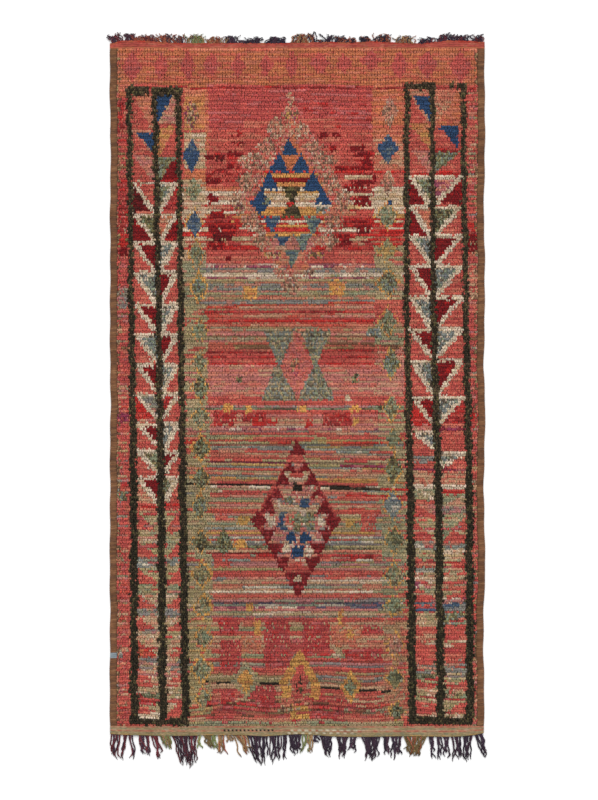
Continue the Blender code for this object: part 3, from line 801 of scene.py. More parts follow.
# A flecked block is a lozenge this much larger than it, joined with a block a pixel smaller
BAND_SWELL = 1.45
BAND_KEPT = 0.85
for left, top, right, bottom in BAND:
    middle_x, middle_y = (left + right) / 2, (top + bottom) / 2
    wide = BAND_SWELL * (right - left)
    tall = BAND_SWELL * (bottom - top)
    worn = rng.random(chart.shape) < BAND_KEPT
    flecked = lozenge(middle_x, middle_y, wide, tall) | block(left + 1, top + 1, right - 1, bottom - 1)
    tie(flecked & worn, "bark", fleck=0.62)
BAND_PALE = (
    # x, y, width, height
    (335, 211, 20, 13), (250, 209, 13, 14), (301, 266, 18, 16), (280, 262, 16, 12), (291, 127, 14, 14),
)
for place in BAND_PALE:
    tie(lozenge(*place) & stretches(share=0.8, longest=2.0), "peach")
BAND_TIP = (286, 295, 93, 290, 111)
tie(wedge(*BAND_TIP) & stretches(share=0.7, longest=2.0), "sand")
BAND_DARK = (
    # left, top, right, bottom
    (285, 112, 297, 119), (264, 252, 281, 258), (309, 252, 325, 258), (236, 205, 242, 210),
    (340, 203, 346, 207),
)
tie_blocks([(*corners, "plum") for corners in BAND_DARK])

# %% [markdown]
# Between the medallions two hourglasses of grey-green wool stand side by side, with a rose
# lozenge left between their waists.

# %% Hourglasses
HOURGLASSES = (
    # left, right and y of the top, x and y of the waist, left, right and y of the foot
    (263.5, 294, 330, 279.8, 362, 261, 297, 401), (300, 331.5, 330, 315, 362, 298, 334.5, 400),
)
# The two wedges pass the waist by this much, so that they grow together there
PAST_WAIST = (6, 4)
ROSE_LOZENGE = (297, 366, 34, 66)
ROSE_EYE = (296, 366, 12, 22)
for left, right, top, waist_x, waist_y, low_left, low_right, low in HOURGLASSES:
    tie(wedge(left, right, top, waist_x, waist_y + PAST_WAIST[0]), "pebble")
    tie(wedge(low_left, low_right, low, waist_x, waist_y - PAST_WAIST[1]), "pebble")
tie(lozenge(*ROSE_LOZENGE), "salmon pink coral", longest=1.5)
tie(lozenge(*ROSE_EYE) & (rng.random(chart.shape) < 0.5), "plum")

# %% [markdown]
# The lower medallion is a ring of burgundy triangles that step out and in again, filled with
# small blocks of ivory, blue, grey-green and coral.

# %% Lower medallion
LOWER_GROUND = (296, 518, 84, 148)
tie(lozenge(*LOWER_GROUND), "coral_field")
RING = (
    # left and right end of the base, its height, then the apex
    (290, 305.5, 455.5, 297, 438), (284, 295, 471.5, 289.5, 461), (299, 311.5, 471.5, 305, 461),
    (275.5, 290, 484.5, 283, 471), (304.5, 318, 484.5, 311.5, 471), (269, 283, 497.5, 276.5, 485),
    (311.5, 325, 497.5, 318, 485), (260, 277, 513, 269, 497), (317.5, 332, 513, 325, 497),
    (250.5, 266, 521, 258, 509), (250.5, 266, 520.5, 258, 530.5), (325.5, 341.5, 521, 333, 509),
    (325.5, 341.5, 520.5, 333, 530.5), (259.5, 275, 529, 267, 544), (319, 333, 529, 326, 544),
    (266.5, 284, 543, 275, 558), (310, 325, 543, 318, 558), (274.5, 291, 557.5, 283, 572.5),
    (304, 320, 557.5, 312, 572.5), (284, 298, 572, 291, 584), (298, 312, 572, 305, 584),
    (290, 307, 582, 298, 598),
)
RING_FILL = (
    # left, top, right, bottom, blend
    (289, 463, 304, 470, "confetti"), (284, 472, 310, 480, "sand"), (281, 480, 314, 488, "confetti"),
    (277, 488, 318, 497, "confetti"), (271, 497, 324, 505, "confetti"), (267, 505, 327, 512, "sand"),
    (264, 512, 329, 530, "confetti"), (268, 530, 326, 543, "confetti"), (276, 543, 318, 557, "confetti"),
    (282, 557, 312, 565, "confetti"), (286, 565, 308, 572, "coral_field"), (290, 573, 304, 582, "sand"),
    (291, 473, 303, 478, "coral"), (293, 483, 302, 491, "night"), (284, 497, 293, 504, "stone"),
    (300, 499, 309, 508, "blue"), (286, 516, 294, 524, "coral"), (300, 516, 307, 524, "coral"),
    (294, 513, 300.5, 531, "moss"), (288, 517, 307, 522, "moss"), (307, 512, 315, 520, "stone"),
    (307, 523, 315, 530, "stone"), (286, 533, 295, 542, "indigo"), (300, 533, 310, 543, "indigo"),
    (292, 547, 303, 557, "indigo"), (268, 516, 275, 526, "cream"), (317, 516, 324, 526, "cream"),
    (294, 560, 301, 568, "coral"), (282, 546, 290, 552, "cream"), (305, 546, 313, 552, "cream"),
)
BLUE_WEDGES = ((277, 287, 512, 282, 522), (277, 287, 529, 282, 518))
RING_SWELL = 0.4
RING_RUN = 2.0
tie_blocks(RING_FILL)
tie(wedge(*BLUE_WEDGES[0]) | wedge(*BLUE_WEDGES[1]), "blue")
for left, right, base, apex_x, apex_y in RING:
    tie(wedge(left - RING_SWELL, right + RING_SWELL, base, apex_x, apex_y), "ring_wine", RING_RUN)

# %% Small tent below the lower medallion
TENT = {
    "roof": (279, 320, 684, 299.5, 648), "inside": (287.5, 311.5, 685, 299.5, 663),
    "left_foot": (282, 686, 291, 698), "right_foot": (311, 684, 320, 698),
    "lozenge": (300, 681, 19, 40), "eye": (299.5, 686, 9, 18), "under": (291, 705, 309, 720),
}
tie(wedge(*TENT["roof"]), "amber")
tie(wedge(*TENT["inside"]), "straw")
tie(block(*TENT["left_foot"]) | block(*TENT["right_foot"]), "amber")
tie(lozenge(*TENT["lozenge"]), "coral_field")
tie(lozenge(*TENT["eye"]) & (rng.random(chart.shape) < 0.6), "soot")
tie(block(*TENT["under"]) & stretches(share=0.75, longest=5.0), "amber")
print("yarns used", len(np.unique(chart)))

# %% [markdown]
# The chart has to be laid on the model. The nodes' boxes say where its upper seam and its
# left side are, and every place on the chart is measured from those two lines.

# %% Helpers: place and joined meshes
left_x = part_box("fringe_top")[0].x
upper_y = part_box("pile_field")[1].y + field_top


def place_x(across):
    return left_x + across


def place_y(down):
    return upper_y - down


def mesh_piece(name, points, faces, replaced):
    """A mesh object from arrays, riding on the rug and standing for a plain solid."""
    mesh = bpy.data.meshes.new(name)
    mesh.from_pydata(points.reshape(-1, 3), [], faces)
    mesh.update()
    piece = bpy.data.objects.new(name, mesh)
    bpy.context.scene.collection.objects.link(piece)
    declare(piece, replaced)
    return piece


def declare(piece, replaced):
    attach(piece, "root")
    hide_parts(replaced)


def deselect_everything():
    if bpy.context.object and bpy.context.object.mode == "EDIT":
        bpy.ops.object.mode_set(mode="OBJECT")
    bpy.ops.object.select_all(action="DESELECT")


def make_solid(piece, thickness):
    """Give the active sheet its thickness, downwards."""
    solid = piece.modifiers.new("thickness", "SOLIDIFY")
    solid.thickness = thickness
    solid.offset = -1.0
    bpy.ops.object.modifier_apply(modifier="thickness")


def face_outwards():
    """Turn all faces of the active piece outwards."""
    bpy.ops.object.mode_set(mode="EDIT")
    bpy.ops.mesh.select_all(action="SELECT")
    bpy.ops.mesh.normals_make_consistent(inside=False)
    bpy.ops.object.mode_set(mode="OBJECT")


def keep_wool(piece, colours):
    """Store the yarn colour of every point and round the shading off."""
    layer = piece.data.color_attributes.new("yarn", "FLOAT_COLOR", "POINT")
    full = np.ones((len(colours), 4), np.float32)
    full[:, :3] = np.clip(colours, 0.0, 1.0)
    layer.data.foreach_set("color", full.ravel())
    piece.data.polygons.foreach_set("use_smooth", np.full(len(piece.data.polygons), True))


print("left side x", round(left_x, 4), "upper edge y", round(upper_y, 4))

# %% [markdown]
# Wool is a matt fibre with a faint bloom where light grazes it. That bloom is the sheen of
# the shader. The yarn's own colour is stored on the mesh, knot by knot, and two noises work
# on it: a fine one the size of a strand of fibres, and a broad one for dust and fading.

# %% Wool materials
def add(tree, kind, settings=None, links=None):
    """Add a node, set its sockets or properties, and link sockets of other nodes to it."""
    node = tree.nodes.new(kind)
    for key, value in (settings or {}).items():
        if key in node.inputs:
            node.inputs[key].default_value = value
        else:
            setattr(node, key, value)
    for key, source in (links or {}).items():
        tree.links.new(source, node.inputs[key])
    return node


def wool(name, roughness, sheen, strand_mm, strand_depth_mm, fade, stretch=(1, 1, 1)):
    """Spun fibre whose colour is stored on the mesh; strand_mm is one bundle of fibres."""
    material = bpy.data.materials.new(name)
    material.use_nodes = True
    tree = material.node_tree
    tree.nodes.clear()
    place = add(tree, "ShaderNodeTexCoord")
    yarn = add(tree, "ShaderNodeAttribute", {"attribute_name": "yarn"})
    along = add(tree, "ShaderNodeMapping", {"Scale": stretch}, {"Vector": place.outputs["Object"]})
    strands = add(tree, "ShaderNodeTexNoise", {"Scale": 500 / strand_mm, "Detail": 3.0},
                  {"Vector": along.outputs["Vector"]})
    dust = add(tree, "ShaderNodeTexNoise", {"Scale": 14.0, "Detail": 4.0},
               {"Vector": place.outputs["Object"]})
    light = add(tree, "ShaderNodeMapRange", {"From Min": 0.3, "From Max": 0.7, "To Min": 0.72,
                "To Max": 1.28}, {"Value": strands.outputs["Fac"]})
    faded = add(tree, "ShaderNodeMapRange", {"From Min": 0.35, "From Max": 0.65,
                "To Min": 1.0 - fade, "To Max": 1.0 + fade}, {"Value": dust.outputs["Fac"]})
    both = add(tree, "ShaderNodeMath", {"operation": "MULTIPLY"},
               {0: light.outputs["Result"], 1: faded.outputs["Result"]})
    shade = add(tree, "ShaderNodeVectorMath", {"operation": "SCALE"},
                {0: yarn.outputs["Color"], "Scale": both.outputs["Value"]})
    bump = add(tree, "ShaderNodeBump", {"Strength": 0.7, "Distance": strand_depth_mm / 1000},
               {"Height": strands.outputs["Fac"]})
    skin = add(tree, "ShaderNodeBsdfPrincipled",
               {"Roughness": roughness, "Sheen Weight": sheen, "Sheen Roughness": 0.55,
                "Specular IOR Level": 0.12},
               {"Base Color": shade.outputs["Vector"], "Normal": bump.outputs["Normal"]})
    add(tree, "ShaderNodeOutputMaterial", None, {"Surface": skin.outputs["BSDF"]})
    return material


# Hand-spun wool pile: matt and soft, with the fine grain of cut yarn ends
wool_pile = wool("hand_spun_wool_pile", 0.92, 0.06, 1.6, 0.8, 0.10, (1, 1, 0.4))
# Goat hair: coarser and more wiry, so its grain is larger and it shines a little more
goat_hair = wool("goat_hair_pile", 0.80, 0.03, 2.2, 1.1, 0.12, (1, 1, 0.4))
# Ground weave: tight wool weft over warp, flat and dull
ground_weave = wool("wool_ground_weave", 0.95, 0.05, 2.0, 0.6, 0.12)
# Wound binding: coarse brown yarn laid round the edge, ridged across its length
wound_binding = wool("wound_goat_hair_binding", 0.85, 0.04, 2.4, 0.8, 0.16, (0.35, 1, 1))
# End webs: plain-woven wool, the weft beaten down so that only it shows
flat_weave = wool("flat_woven_wool_web", 0.93, 0.05, 2.0, 0.6, 0.12, (0.4, 1, 1))
# Warp ends: plied wool yarn, loose at the tips
plied_warp = wool("plied_wool_warp", 0.88, 0.06, 1.8, 0.7, 0.14, (1, 0.35, 1))

# %% [markdown]
# A knot is a short piece of yarn tied round two warps, so that both its ends stand up as
# tufts. From above a tuft is a soft point that leans to the end where the weaver began. It
# is modelled once: a four-sided cone, whose base is drawn down to the root. A finer tuft of
# single hairs would look better close up, but with nearly eighty thousand of them the mesh
# would be too heavy, so the hairs are left to the material.

# %% One tuft
# The pointed part, as a share of the tuft's height, and the radius at its foot
TUFT_POINT = 0.5
TUFT_RADIUS = 0.70
deselect_everything()
bpy.ops.mesh.primitive_cone_add(vertices=4, radius1=TUFT_RADIUS, radius2=0.0, depth=TUFT_POINT,
                                location=(0, 0, 1.0 - TUFT_POINT / 2),
                                rotation=(0, 0, math.radians(45)), end_fill_type="TRIFAN")
tuft = bpy.context.object
bpy.ops.object.transform_apply(location=True, rotation=True, scale=True)
for vert in tuft.data.vertices:
    vert.select = math.hypot(vert.co.x, vert.co.y) < 0.1 and vert.co.z < 0.6
for edge in tuft.data.edges:
    edge.select = False
for face in tuft.data.polygons:
    face.select = False
bpy.ops.object.mode_set(mode="EDIT")
bpy.ops.mesh.select_mode(type="VERT")
bpy.ops.transform.translate(value=(0, 0, -TUFT_POINT))
bpy.ops.object.mode_set(mode="OBJECT")
tuft_points = np.array([vert.co for vert in tuft.data.vertices])
tuft_faces = np.array([face.vertices for face in tuft.data.polygons])
under = np.array([face.normal.z < 0 for face in tuft.data.polygons])
bpy.data.objects.remove(tuft)
print("tuft points", len(tuft_points), "triangles", len(tuft_faces), "heights", tuft_points[:, 2])

# %% [markdown]
# Every tuft gets a height, a lean and a tone of its own. Two lays of tufts make up one knot
# row. The second one is shorter and darkened with painted shade, and the first is lightened a
# little with painted light; together they give the dark line between the rows.
# The black bars and the ivory rows round the triangles were left longer when the pile was cut.

# %% Height, lean, tone and painted shade of each tuft
PILE_ROOT = 0.0030
PILE_HEIGHT = 0.0098
BAR_EXTRA = 0.0036
ROUND_EXTRA = 0.0020
LOWER_LAY = 0.84
TUFT_WIDE = 1.16
TUFT_LONG = 1.40
LEAN = 0.0036
tuft_wide = ACROSS[0, 1] - ACROSS[0, 0]
tuft_long = lay_down[1] - lay_down[0]
# Tone of the field down the rug, by photo y, and the sunken furrows between some rows, whose
# colour is darkened with painted shade
FADE_Y = (84, 95, 200, 262, 345, 368, 400, 440, 640, 725)
FADE_TONE = (1.02, 1.08, 1.04, 0.95, 0.93, 1.05, 1.05, 0.86, 0.86, 0.90)
FURROWS = (336, 352, 446, 463, 485, 553, 604, 662, 683, 690, 706, 712.5)
FURROW_HALF_PX = 1.3
FURROW_SIDES = (206, 376)
FURROW_HEIGHT = 0.72
FURROW_PAINTED_SHADE = 0.74
FIELD_SIDES = (184, 404)
IVORY_SPAN = (174, 505)
FIELD_FROM = 84
UPPER_BAND_TO = 88
# Spread of height, and of tone from knot to knot, from tuft to tuft and from lay to lay
HEIGHT_SPREAD = 0.07
KNOT_SPREAD = 0.06
TUFT_SPREAD = 0.05
LAY_SPREAD = 0.03
# Painted shade on the lower lay of each row, and a little painted light on the upper lay
LAY_PAINTED_SHADES = (0.90, 1.04)
# Metres by which the tufts of a knot move together and stray, in the upper band and below
CLOSER = (0.0007, 0.0002)
ASTRAY = (0.0003, 0.0009)
# Metres by which a tip strays, for long tufts and for the rest
SHAGGY = (0.0030, 0.0014)
lower_lay = (np.arange(lays) % LAYS_IN_A_ROW == 1)[:, None] & ~bars
beside_field = (X < FIELD_SIDES[0]) | (X > FIELD_SIDES[1])
ivory_tuft = (chart == YARN_NAMES.index("ivory")) & between(Y, *IVORY_SPAN) & beside_field
height = PILE_HEIGHT * rng.normal(1.0, HEIGHT_SPREAD, chart.shape)
height += BAR_EXTRA * bars + ROUND_EXTRA * ivory_tuft
height *= np.where(lower_lay, LOWER_LAY, 1.0)
knot_tone = np.repeat(rng.normal(1.0, KNOT_SPREAD, (lays, KNOT_COLUMNS)), TUFTS_IN_A_KNOT, axis=1)
tone_and_painted_shade = knot_tone * rng.normal(1.0, TUFT_SPREAD, chart.shape) * rng.normal(1.0, LAY_SPREAD, (lays, 1))
tone_and_painted_shade *= np.where(lower_lay, *LAY_PAINTED_SHADES)
faded_field = bars | (Y < FIELD_FROM) | between(X, *FIELD_SIDES)
tone_and_painted_shade *= np.where(faded_field, np.interp(ROW_Y, FADE_Y, FADE_TONE), 1.0)
# Painted shade in the furrows, which are also made lower
for furrow_y in FURROWS:
    furrow = (np.abs(ROW_Y - furrow_y) < FURROW_HALF_PX) & between(X, *FURROW_SIDES)
    height[furrow] *= FURROW_HEIGHT
    tone_and_painted_shade[furrow] *= FURROW_PAINTED_SHADE
in_upper_band = Y < UPPER_BAND_TO
closer = np.tile((1.0, -1.0), KNOT_COLUMNS)[None, :] * np.where(in_upper_band, *CLOSER)
astray = rng.normal(0.0, 1.0, chart.shape) * np.where(in_upper_band, *ASTRAY)
shaggy = np.where(bars | ivory_tuft, *SHAGGY)
print("pile height mm", round(1000 * float(height.min()), 1), "to", round(1000 * float(height.max()), 1))

# %% Joining the tufts of a family of yarns into one mesh
# Painted shade towards each tuft's root and a painted highlight at its tip, multiplied into the yarn
# colour by height
ROOT_PAINTED_SHADE = 0.35
RING_PAINTED_SHADE = 0.90
TIP_PAINTED_LIGHT = 1.08
# Spread of a tuft's turn, width, lean and place, and of its colour
TURN_SPREAD = 0.30
SWELL_SPREAD = 0.12
LEAN_SPREAD = 0.0012
PLACE_SPREAD = 0.0005
DYE_SPREAD = 0.03
BEND_POWER = 1.5
LEAN_BACK = 0.4
# In the layout a tuft fills this share of its square, and its hidden underside much less
CELL_FILL = 0.9
UNDER_FILL = 0.08
UNDER_SHIFT = 0.455


def tie_tufts(name, yarns, material):
    """One joined mesh of all tufts tied with the yarns named."""
    rows, columns = np.nonzero(np.isin(chart, [YARN_NAMES.index(yarn) for yarn in yarns]))
    count = len(rows)
    own = np.random.default_rng(len(name) * 101 + count)
    turn = own.normal(0.0, TURN_SPREAD, (count, 1))
    shape = np.repeat(tuft_points[None], count, axis=0)
    swell = own.normal(1.0, SWELL_SPREAD, (count, len(tuft_points)))
    wide = shape[:, :, 0] * tuft_wide * TUFT_WIDE * swell
    long = shape[:, :, 1] * tuft_long * TUFT_LONG * swell
    bend = shape[:, :, 2] ** BEND_POWER
    lean_x = own.normal(0.0, 1.0, (count, 1)) * shaggy[rows, columns][:, None] * bend
    lean_y = -own.normal(LEAN, LEAN_SPREAD, (count, 1)) * bend
    middle_x = place_x(ACROSS + closer + astray)[rows, columns][:, None]
    middle_y = place_y(DOWN)[rows, columns][:, None] + own.normal(0.0, PLACE_SPREAD, (count, 1))
    points = np.empty_like(shape)
    points[:, :, 0] = middle_x + wide * np.cos(turn) - long * np.sin(turn) + lean_x
    points[:, :, 1] = middle_y + wide * np.sin(turn) + long * np.cos(turn) + lean_y + LEAN_BACK * LEAN
    points[:, :, 2] = PILE_ROOT + shape[:, :, 2] * height[rows, columns][:, None]
    faces = (tuft_faces[None] + np.arange(count)[:, None, None] * len(tuft_points)).reshape(-1, 3)
    piece = mesh_piece(name, points, faces, "pile_field")
    shade = np.interp(shape[:, :, 2], (0.0, 0.5, 1.0), (ROOT_PAINTED_SHADE, RING_PAINTED_SHADE, TIP_PAINTED_LIGHT))
    base = dyed[rows, columns] * own.normal(1.0, DYE_SPREAD, (count, 3))
    colours = base[:, None, :] * (shade * tone_and_painted_shade[rows, columns][:, None])[:, :, None]
    keep_wool(piece, colours.reshape(-1, 3))
    lay_out_tufts(piece, count)
    piece.data.materials.append(material)
    print(name, "tufts", count, "triangles", len(faces))
    return piece


def lay_out_tufts(piece, count):
    """A flat layout for a baked map, named OFBake: one small square to each tuft."""
    across = math.ceil(math.sqrt(count))
    cell = 1.0 / across
    corner = tuft_points[:, :2][tuft_faces] * CELL_FILL
    corner[under] = corner[under] * UNDER_FILL + UNDER_SHIFT
    number = np.arange(count)
    origin = np.stack((number % across, number // across), axis=1)[:, None, :]
    layer = piece.data.uv_layers.new(name="OFBake")
    flat = corner.reshape(1, -1, 2) + 0.5
    layer.data.foreach_set("uv", ((flat + origin) * cell).astype(np.float32).ravel())


# %% Tie the whole field
FAMILIES = (
    ("knots_coral", ("coral", "rose"), wool_pile),
    ("knots_salmon", ("salmon", "pink", "orange", "ochre", "marigold"), wool_pile),
    ("knots_red", ("red", "burgundy", "magenta"), wool_pile),
    ("knots_pale", ("ivory", "beige", "khaki"), wool_pile),
    ("knots_green", ("sage", "olive", "brown"), wool_pile),
    ("knots_blue", ("steel", "indigo"), wool_pile),
    ("knots_goat_hair", ("black",), goat_hair),
)
tuft_pieces = [tie_tufts(*family) for family in FAMILIES]

# %% [markdown]
# Under the pile lies the ground weave, a sheet some 5 mm thick. Seen from below it shows the
# back of every knot, so the pattern is there too, clearer than on the face. The sheet is a
# grid with one face to a knot. It is pulled to the sides of the cloth and made solid.

# %% The ground weave
GROUND_THICK = 0.0046
GROUND_LIFT = 0.0006
UNDER_PILE_PAINTED_SHADE = 0.4
RIB_HEIGHT = 0.0004
RIB_STEP = 2.4
deselect_everything()
bpy.ops.mesh.primitive_grid_add(x_subdivisions=KNOT_COLUMNS, y_subdivisions=KNOT_ROWS, size=1.0)
ground = bpy.context.object
ground.name = "ground_weave"
grid = np.array([vert.co for vert in ground.data.vertices])
share_across = grid[:, 0] + 0.5
level = field_top + (0.5 - grid[:, 1]) * (field_bottom - field_top)
left = side_across("left", level) + inwards
right = side_across("right", level) - inwards
across = left + share_across * (right - left)
dropped = level + row_drop(across, level)
rib = RIB_HEIGHT * np.sin(np.arange(len(grid)) * RIB_STEP)
grid[:, 0] = place_x(across)
grid[:, 1] = place_y(dropped)
grid[:, 2] = GROUND_THICK + GROUND_LIFT + rib
ground.data.vertices.foreach_set("co", grid.ravel())
face_column = np.tile(np.arange(KNOT_COLUMNS), KNOT_ROWS)
face_row = np.repeat(np.arange(KNOT_ROWS)[::-1], KNOT_COLUMNS)
first_lay, first_end = face_row * LAYS_IN_A_ROW, face_column * TUFTS_IN_A_KNOT
knot_colour = dyed[first_lay, first_end] * tone_and_painted_shade[first_lay, first_end][:, None]
layer = ground.data.color_attributes.new("yarn", "FLOAT_COLOR", "CORNER")
corners = np.ones((len(ground.data.polygons), 4, 4), np.float32)
corners[:, :, :3] = np.clip(knot_colour, 0, 1)[:, None, :]
layer.data.foreach_set("color", corners.ravel())
make_solid(ground, GROUND_THICK)
bpy.ops.object.transform_apply(location=True, rotation=True, scale=True)
layer = ground.data.color_attributes["yarn"]
corners = np.empty(len(layer.data) * 4, np.float32)
layer.data.foreach_get("color", corners)
corners = corners.reshape(-1, 4)
# Painted shade: the top faces of the sheet, under the pile, get a darker colour
for face in ground.data.polygons:
    if face.normal.z > 0.5:
        corners[face.loop_start:face.loop_start + face.loop_total, :3] *= UNDER_PILE_PAINTED_SHADE
layer.data.foreach_set("color", corners.ravel())
ground.data.materials.append(ground_weave)
declare(ground, "pile_field")
ground_low = min(vert.co.z for vert in ground.data.vertices)
print("ground faces", len(ground.data.polygons), "lowest mm", round(1000 * ground_low, 2))

# %% [markdown]
# Each long side is bound with brown goat hair, wound round the outer warps turn beside turn.
# A grid is rolled up into a tube of twelve sides down the side of the cloth, sewn together
# along its seam and closed at both ends. Every turn of the winding is a small swelling of
# that tube. Modelling the turns as rings would cost ten times the faces.

# %% Side bindings
TURN_PITCH = 0.0085
BINDING_STEPS = 900
BINDING_SIDES = 12
BINDING_HEIGHT = 0.0092
BROWNS = ("#754f35", "#64422c", "#825d40", "#553a2c")
# How far a turn slants, how much it swells, and how the tube is lifted and crowned
TURN_SLANT = 0.16
TURN_SWELL = 0.045
TURN_DIP = 0.03
BINDING_LIFT = 1.06
BINDING_CROWN = 0.04
# Colours dealt to the turns, drawn towards the common brown, and the painted shade in the
# grooves between turns, with painted light on their crests
TURNS_DEALT = 400
OWN_BROWN, COMMON_BROWN = 0.55, 0.45
GROOVE_PAINTED_SHADE, CREST_PAINTED_LIGHT = 0.62, 0.5
# A mend in grey yarn on the left side, in photo pixels down
MEND_Y = 655
MEND_HALF_PX = 2.5
MEND_GREY = "#7f8a90"


def bind_side(side):
    deselect_everything()
    bpy.ops.mesh.primitive_grid_add(x_subdivisions=BINDING_SIDES, y_subdivisions=BINDING_STEPS, size=1.0)
    piece = bpy.context.object
    piece.name = "binding_" + side
    points = np.array([vert.co for vert in piece.data.vertices])
    down = field_top + (0.5 - points[:, 1]) * (field_bottom - field_top)
    round_share = 2 * np.pi * points[:, 0]
    if side == "left":
        outer = side_across("left", down)
        middle = outer + SELVEDGE_WIDTH / 2
    else:
        outer = side_across("right", down)
        middle = outer - SELVEDGE_WIDTH / 2
    winding = down / TURN_PITCH + TURN_SLANT * np.cos(round_share)
    swelling = 1.0 + TURN_SWELL * np.abs(np.sin(np.pi * winding)) - TURN_DIP
    across = middle + np.cos(round_share) * SELVEDGE_WIDTH / 2 * swelling
    up = BINDING_HEIGHT / 2 * (BINDING_LIFT + np.sin(round_share) * (swelling + BINDING_CROWN))
    placed = np.stack((place_x(across), place_y(down), up), axis=1)
    piece.data.vertices.foreach_set("co", placed.ravel())
    browns = np.array([linear(colour) for colour in BROWNS])
    turn_number = np.floor(winding).astype(int) % TURNS_DEALT
    pick = rng.integers(0, len(browns), TURNS_DEALT)
    colours = browns[pick[turn_number]] * rng.normal(1.0, 0.08, TURNS_DEALT)[turn_number][:, None]
    colours = OWN_BROWN * colours + COMMON_BROWN * browns.mean(axis=0)
    # Painted shade in the grooves between turns and painted light on their crests
    painted_groove_shade = GROOVE_PAINTED_SHADE + CREST_PAINTED_LIGHT * np.abs(np.sin(np.pi * winding))
    photo_y = down / PX + UPPER_PX
    mend = (np.abs(photo_y - MEND_Y) < MEND_HALF_PX) & (side == "left")
    colours[mend] = linear(MEND_GREY)
    keep_wool(piece, colours * painted_groove_shade[:, None])
    bpy.ops.object.mode_set(mode="EDIT")
    bpy.ops.mesh.select_all(action="SELECT")
    bpy.ops.mesh.remove_doubles(threshold=0.00005)
    bpy.ops.mesh.select_all(action="DESELECT")
    bpy.ops.mesh.select_non_manifold()
    bpy.ops.mesh.fill_holes(sides=0)
    face_outwards()
    piece.data.materials.append(wound_binding)
    declare(piece, "selvedge_" + side)
    print(piece.name, "faces", len(piece.data.polygons))
    return piece


bindings = [bind_side("left"), bind_side("right")]

# %% [markdown]
# Both ends are finished with a narrow flat-woven web, which keeps the knots from slipping
# off. Its weft is beaten down hard, so it shows as low ribs that run across the cloth. The
# webs are grids with the ribs in their height, made solid like the ground weave.

# %% Where the two ends of the cloth stray, in millimetres
END_EDGES = np.array([
    (0, -4, -8), (45, 8, -4), (98, 10, -3), (160, 8, -1), (220, 0, 0), (300, -2, 0),
    (400, -2, -2), (518, -1, -4), (618, -2, 2), (748, -1, -7), (800, 0, -5), (880, 4, 2),
    (960, 0, 4), (1040, 6, 4), (1140, 0, 2), (1240, -4, 2), (1300, 3, 3), (1350, 10, 4),
    (1410, 9, 2), (1460, 7, -4), (1496, 2, -13),
]) * 0.001
WEB_BACK = 0.0068
WEB_FRONT = 0.0048
WEB_COLUMNS = 374
RIB_DEPTH = 0.0007
WEB_FLECK = 0.45
WEB_TONE = {"top": 0.79, "bottom": 0.75}
# Painted shade between the ribs of the web, and painted light on their crests
WEB_PAINTED_SHADE, WEB_RIB_PAINTED_LIGHT = 0.62, 0.42
WARP_RIPPLE = 0.0004
WARP_PITCH = 0.0082
# Length of a run of one weft yarn, its shift from weft to weft, and the runs dealt out
WEFT_RUN = 0.016
WEFT_SHIFT = 0.7
WEFT_RUNS = 200
# Two small weft patterns in the bottom web, in photo pixels
THREAD_HALF_PX = 0.9
ZIGZAG = {"y": 731.5, "swing": 1.4, "pitch": 7.0, "span": (288, 357), "colour": "#c8bba0"}
DOTS = {"y": 730, "pitch": 4.0, "span": (222, 276), "colour": "#2a2622"}


def end_down(end, across):
    """The cloth's outer edge at one end."""
    if end == "top":
        return -read(END_EDGES, 1, across)
    return CLOTH_LENGTH + read(END_EDGES, 2, across)


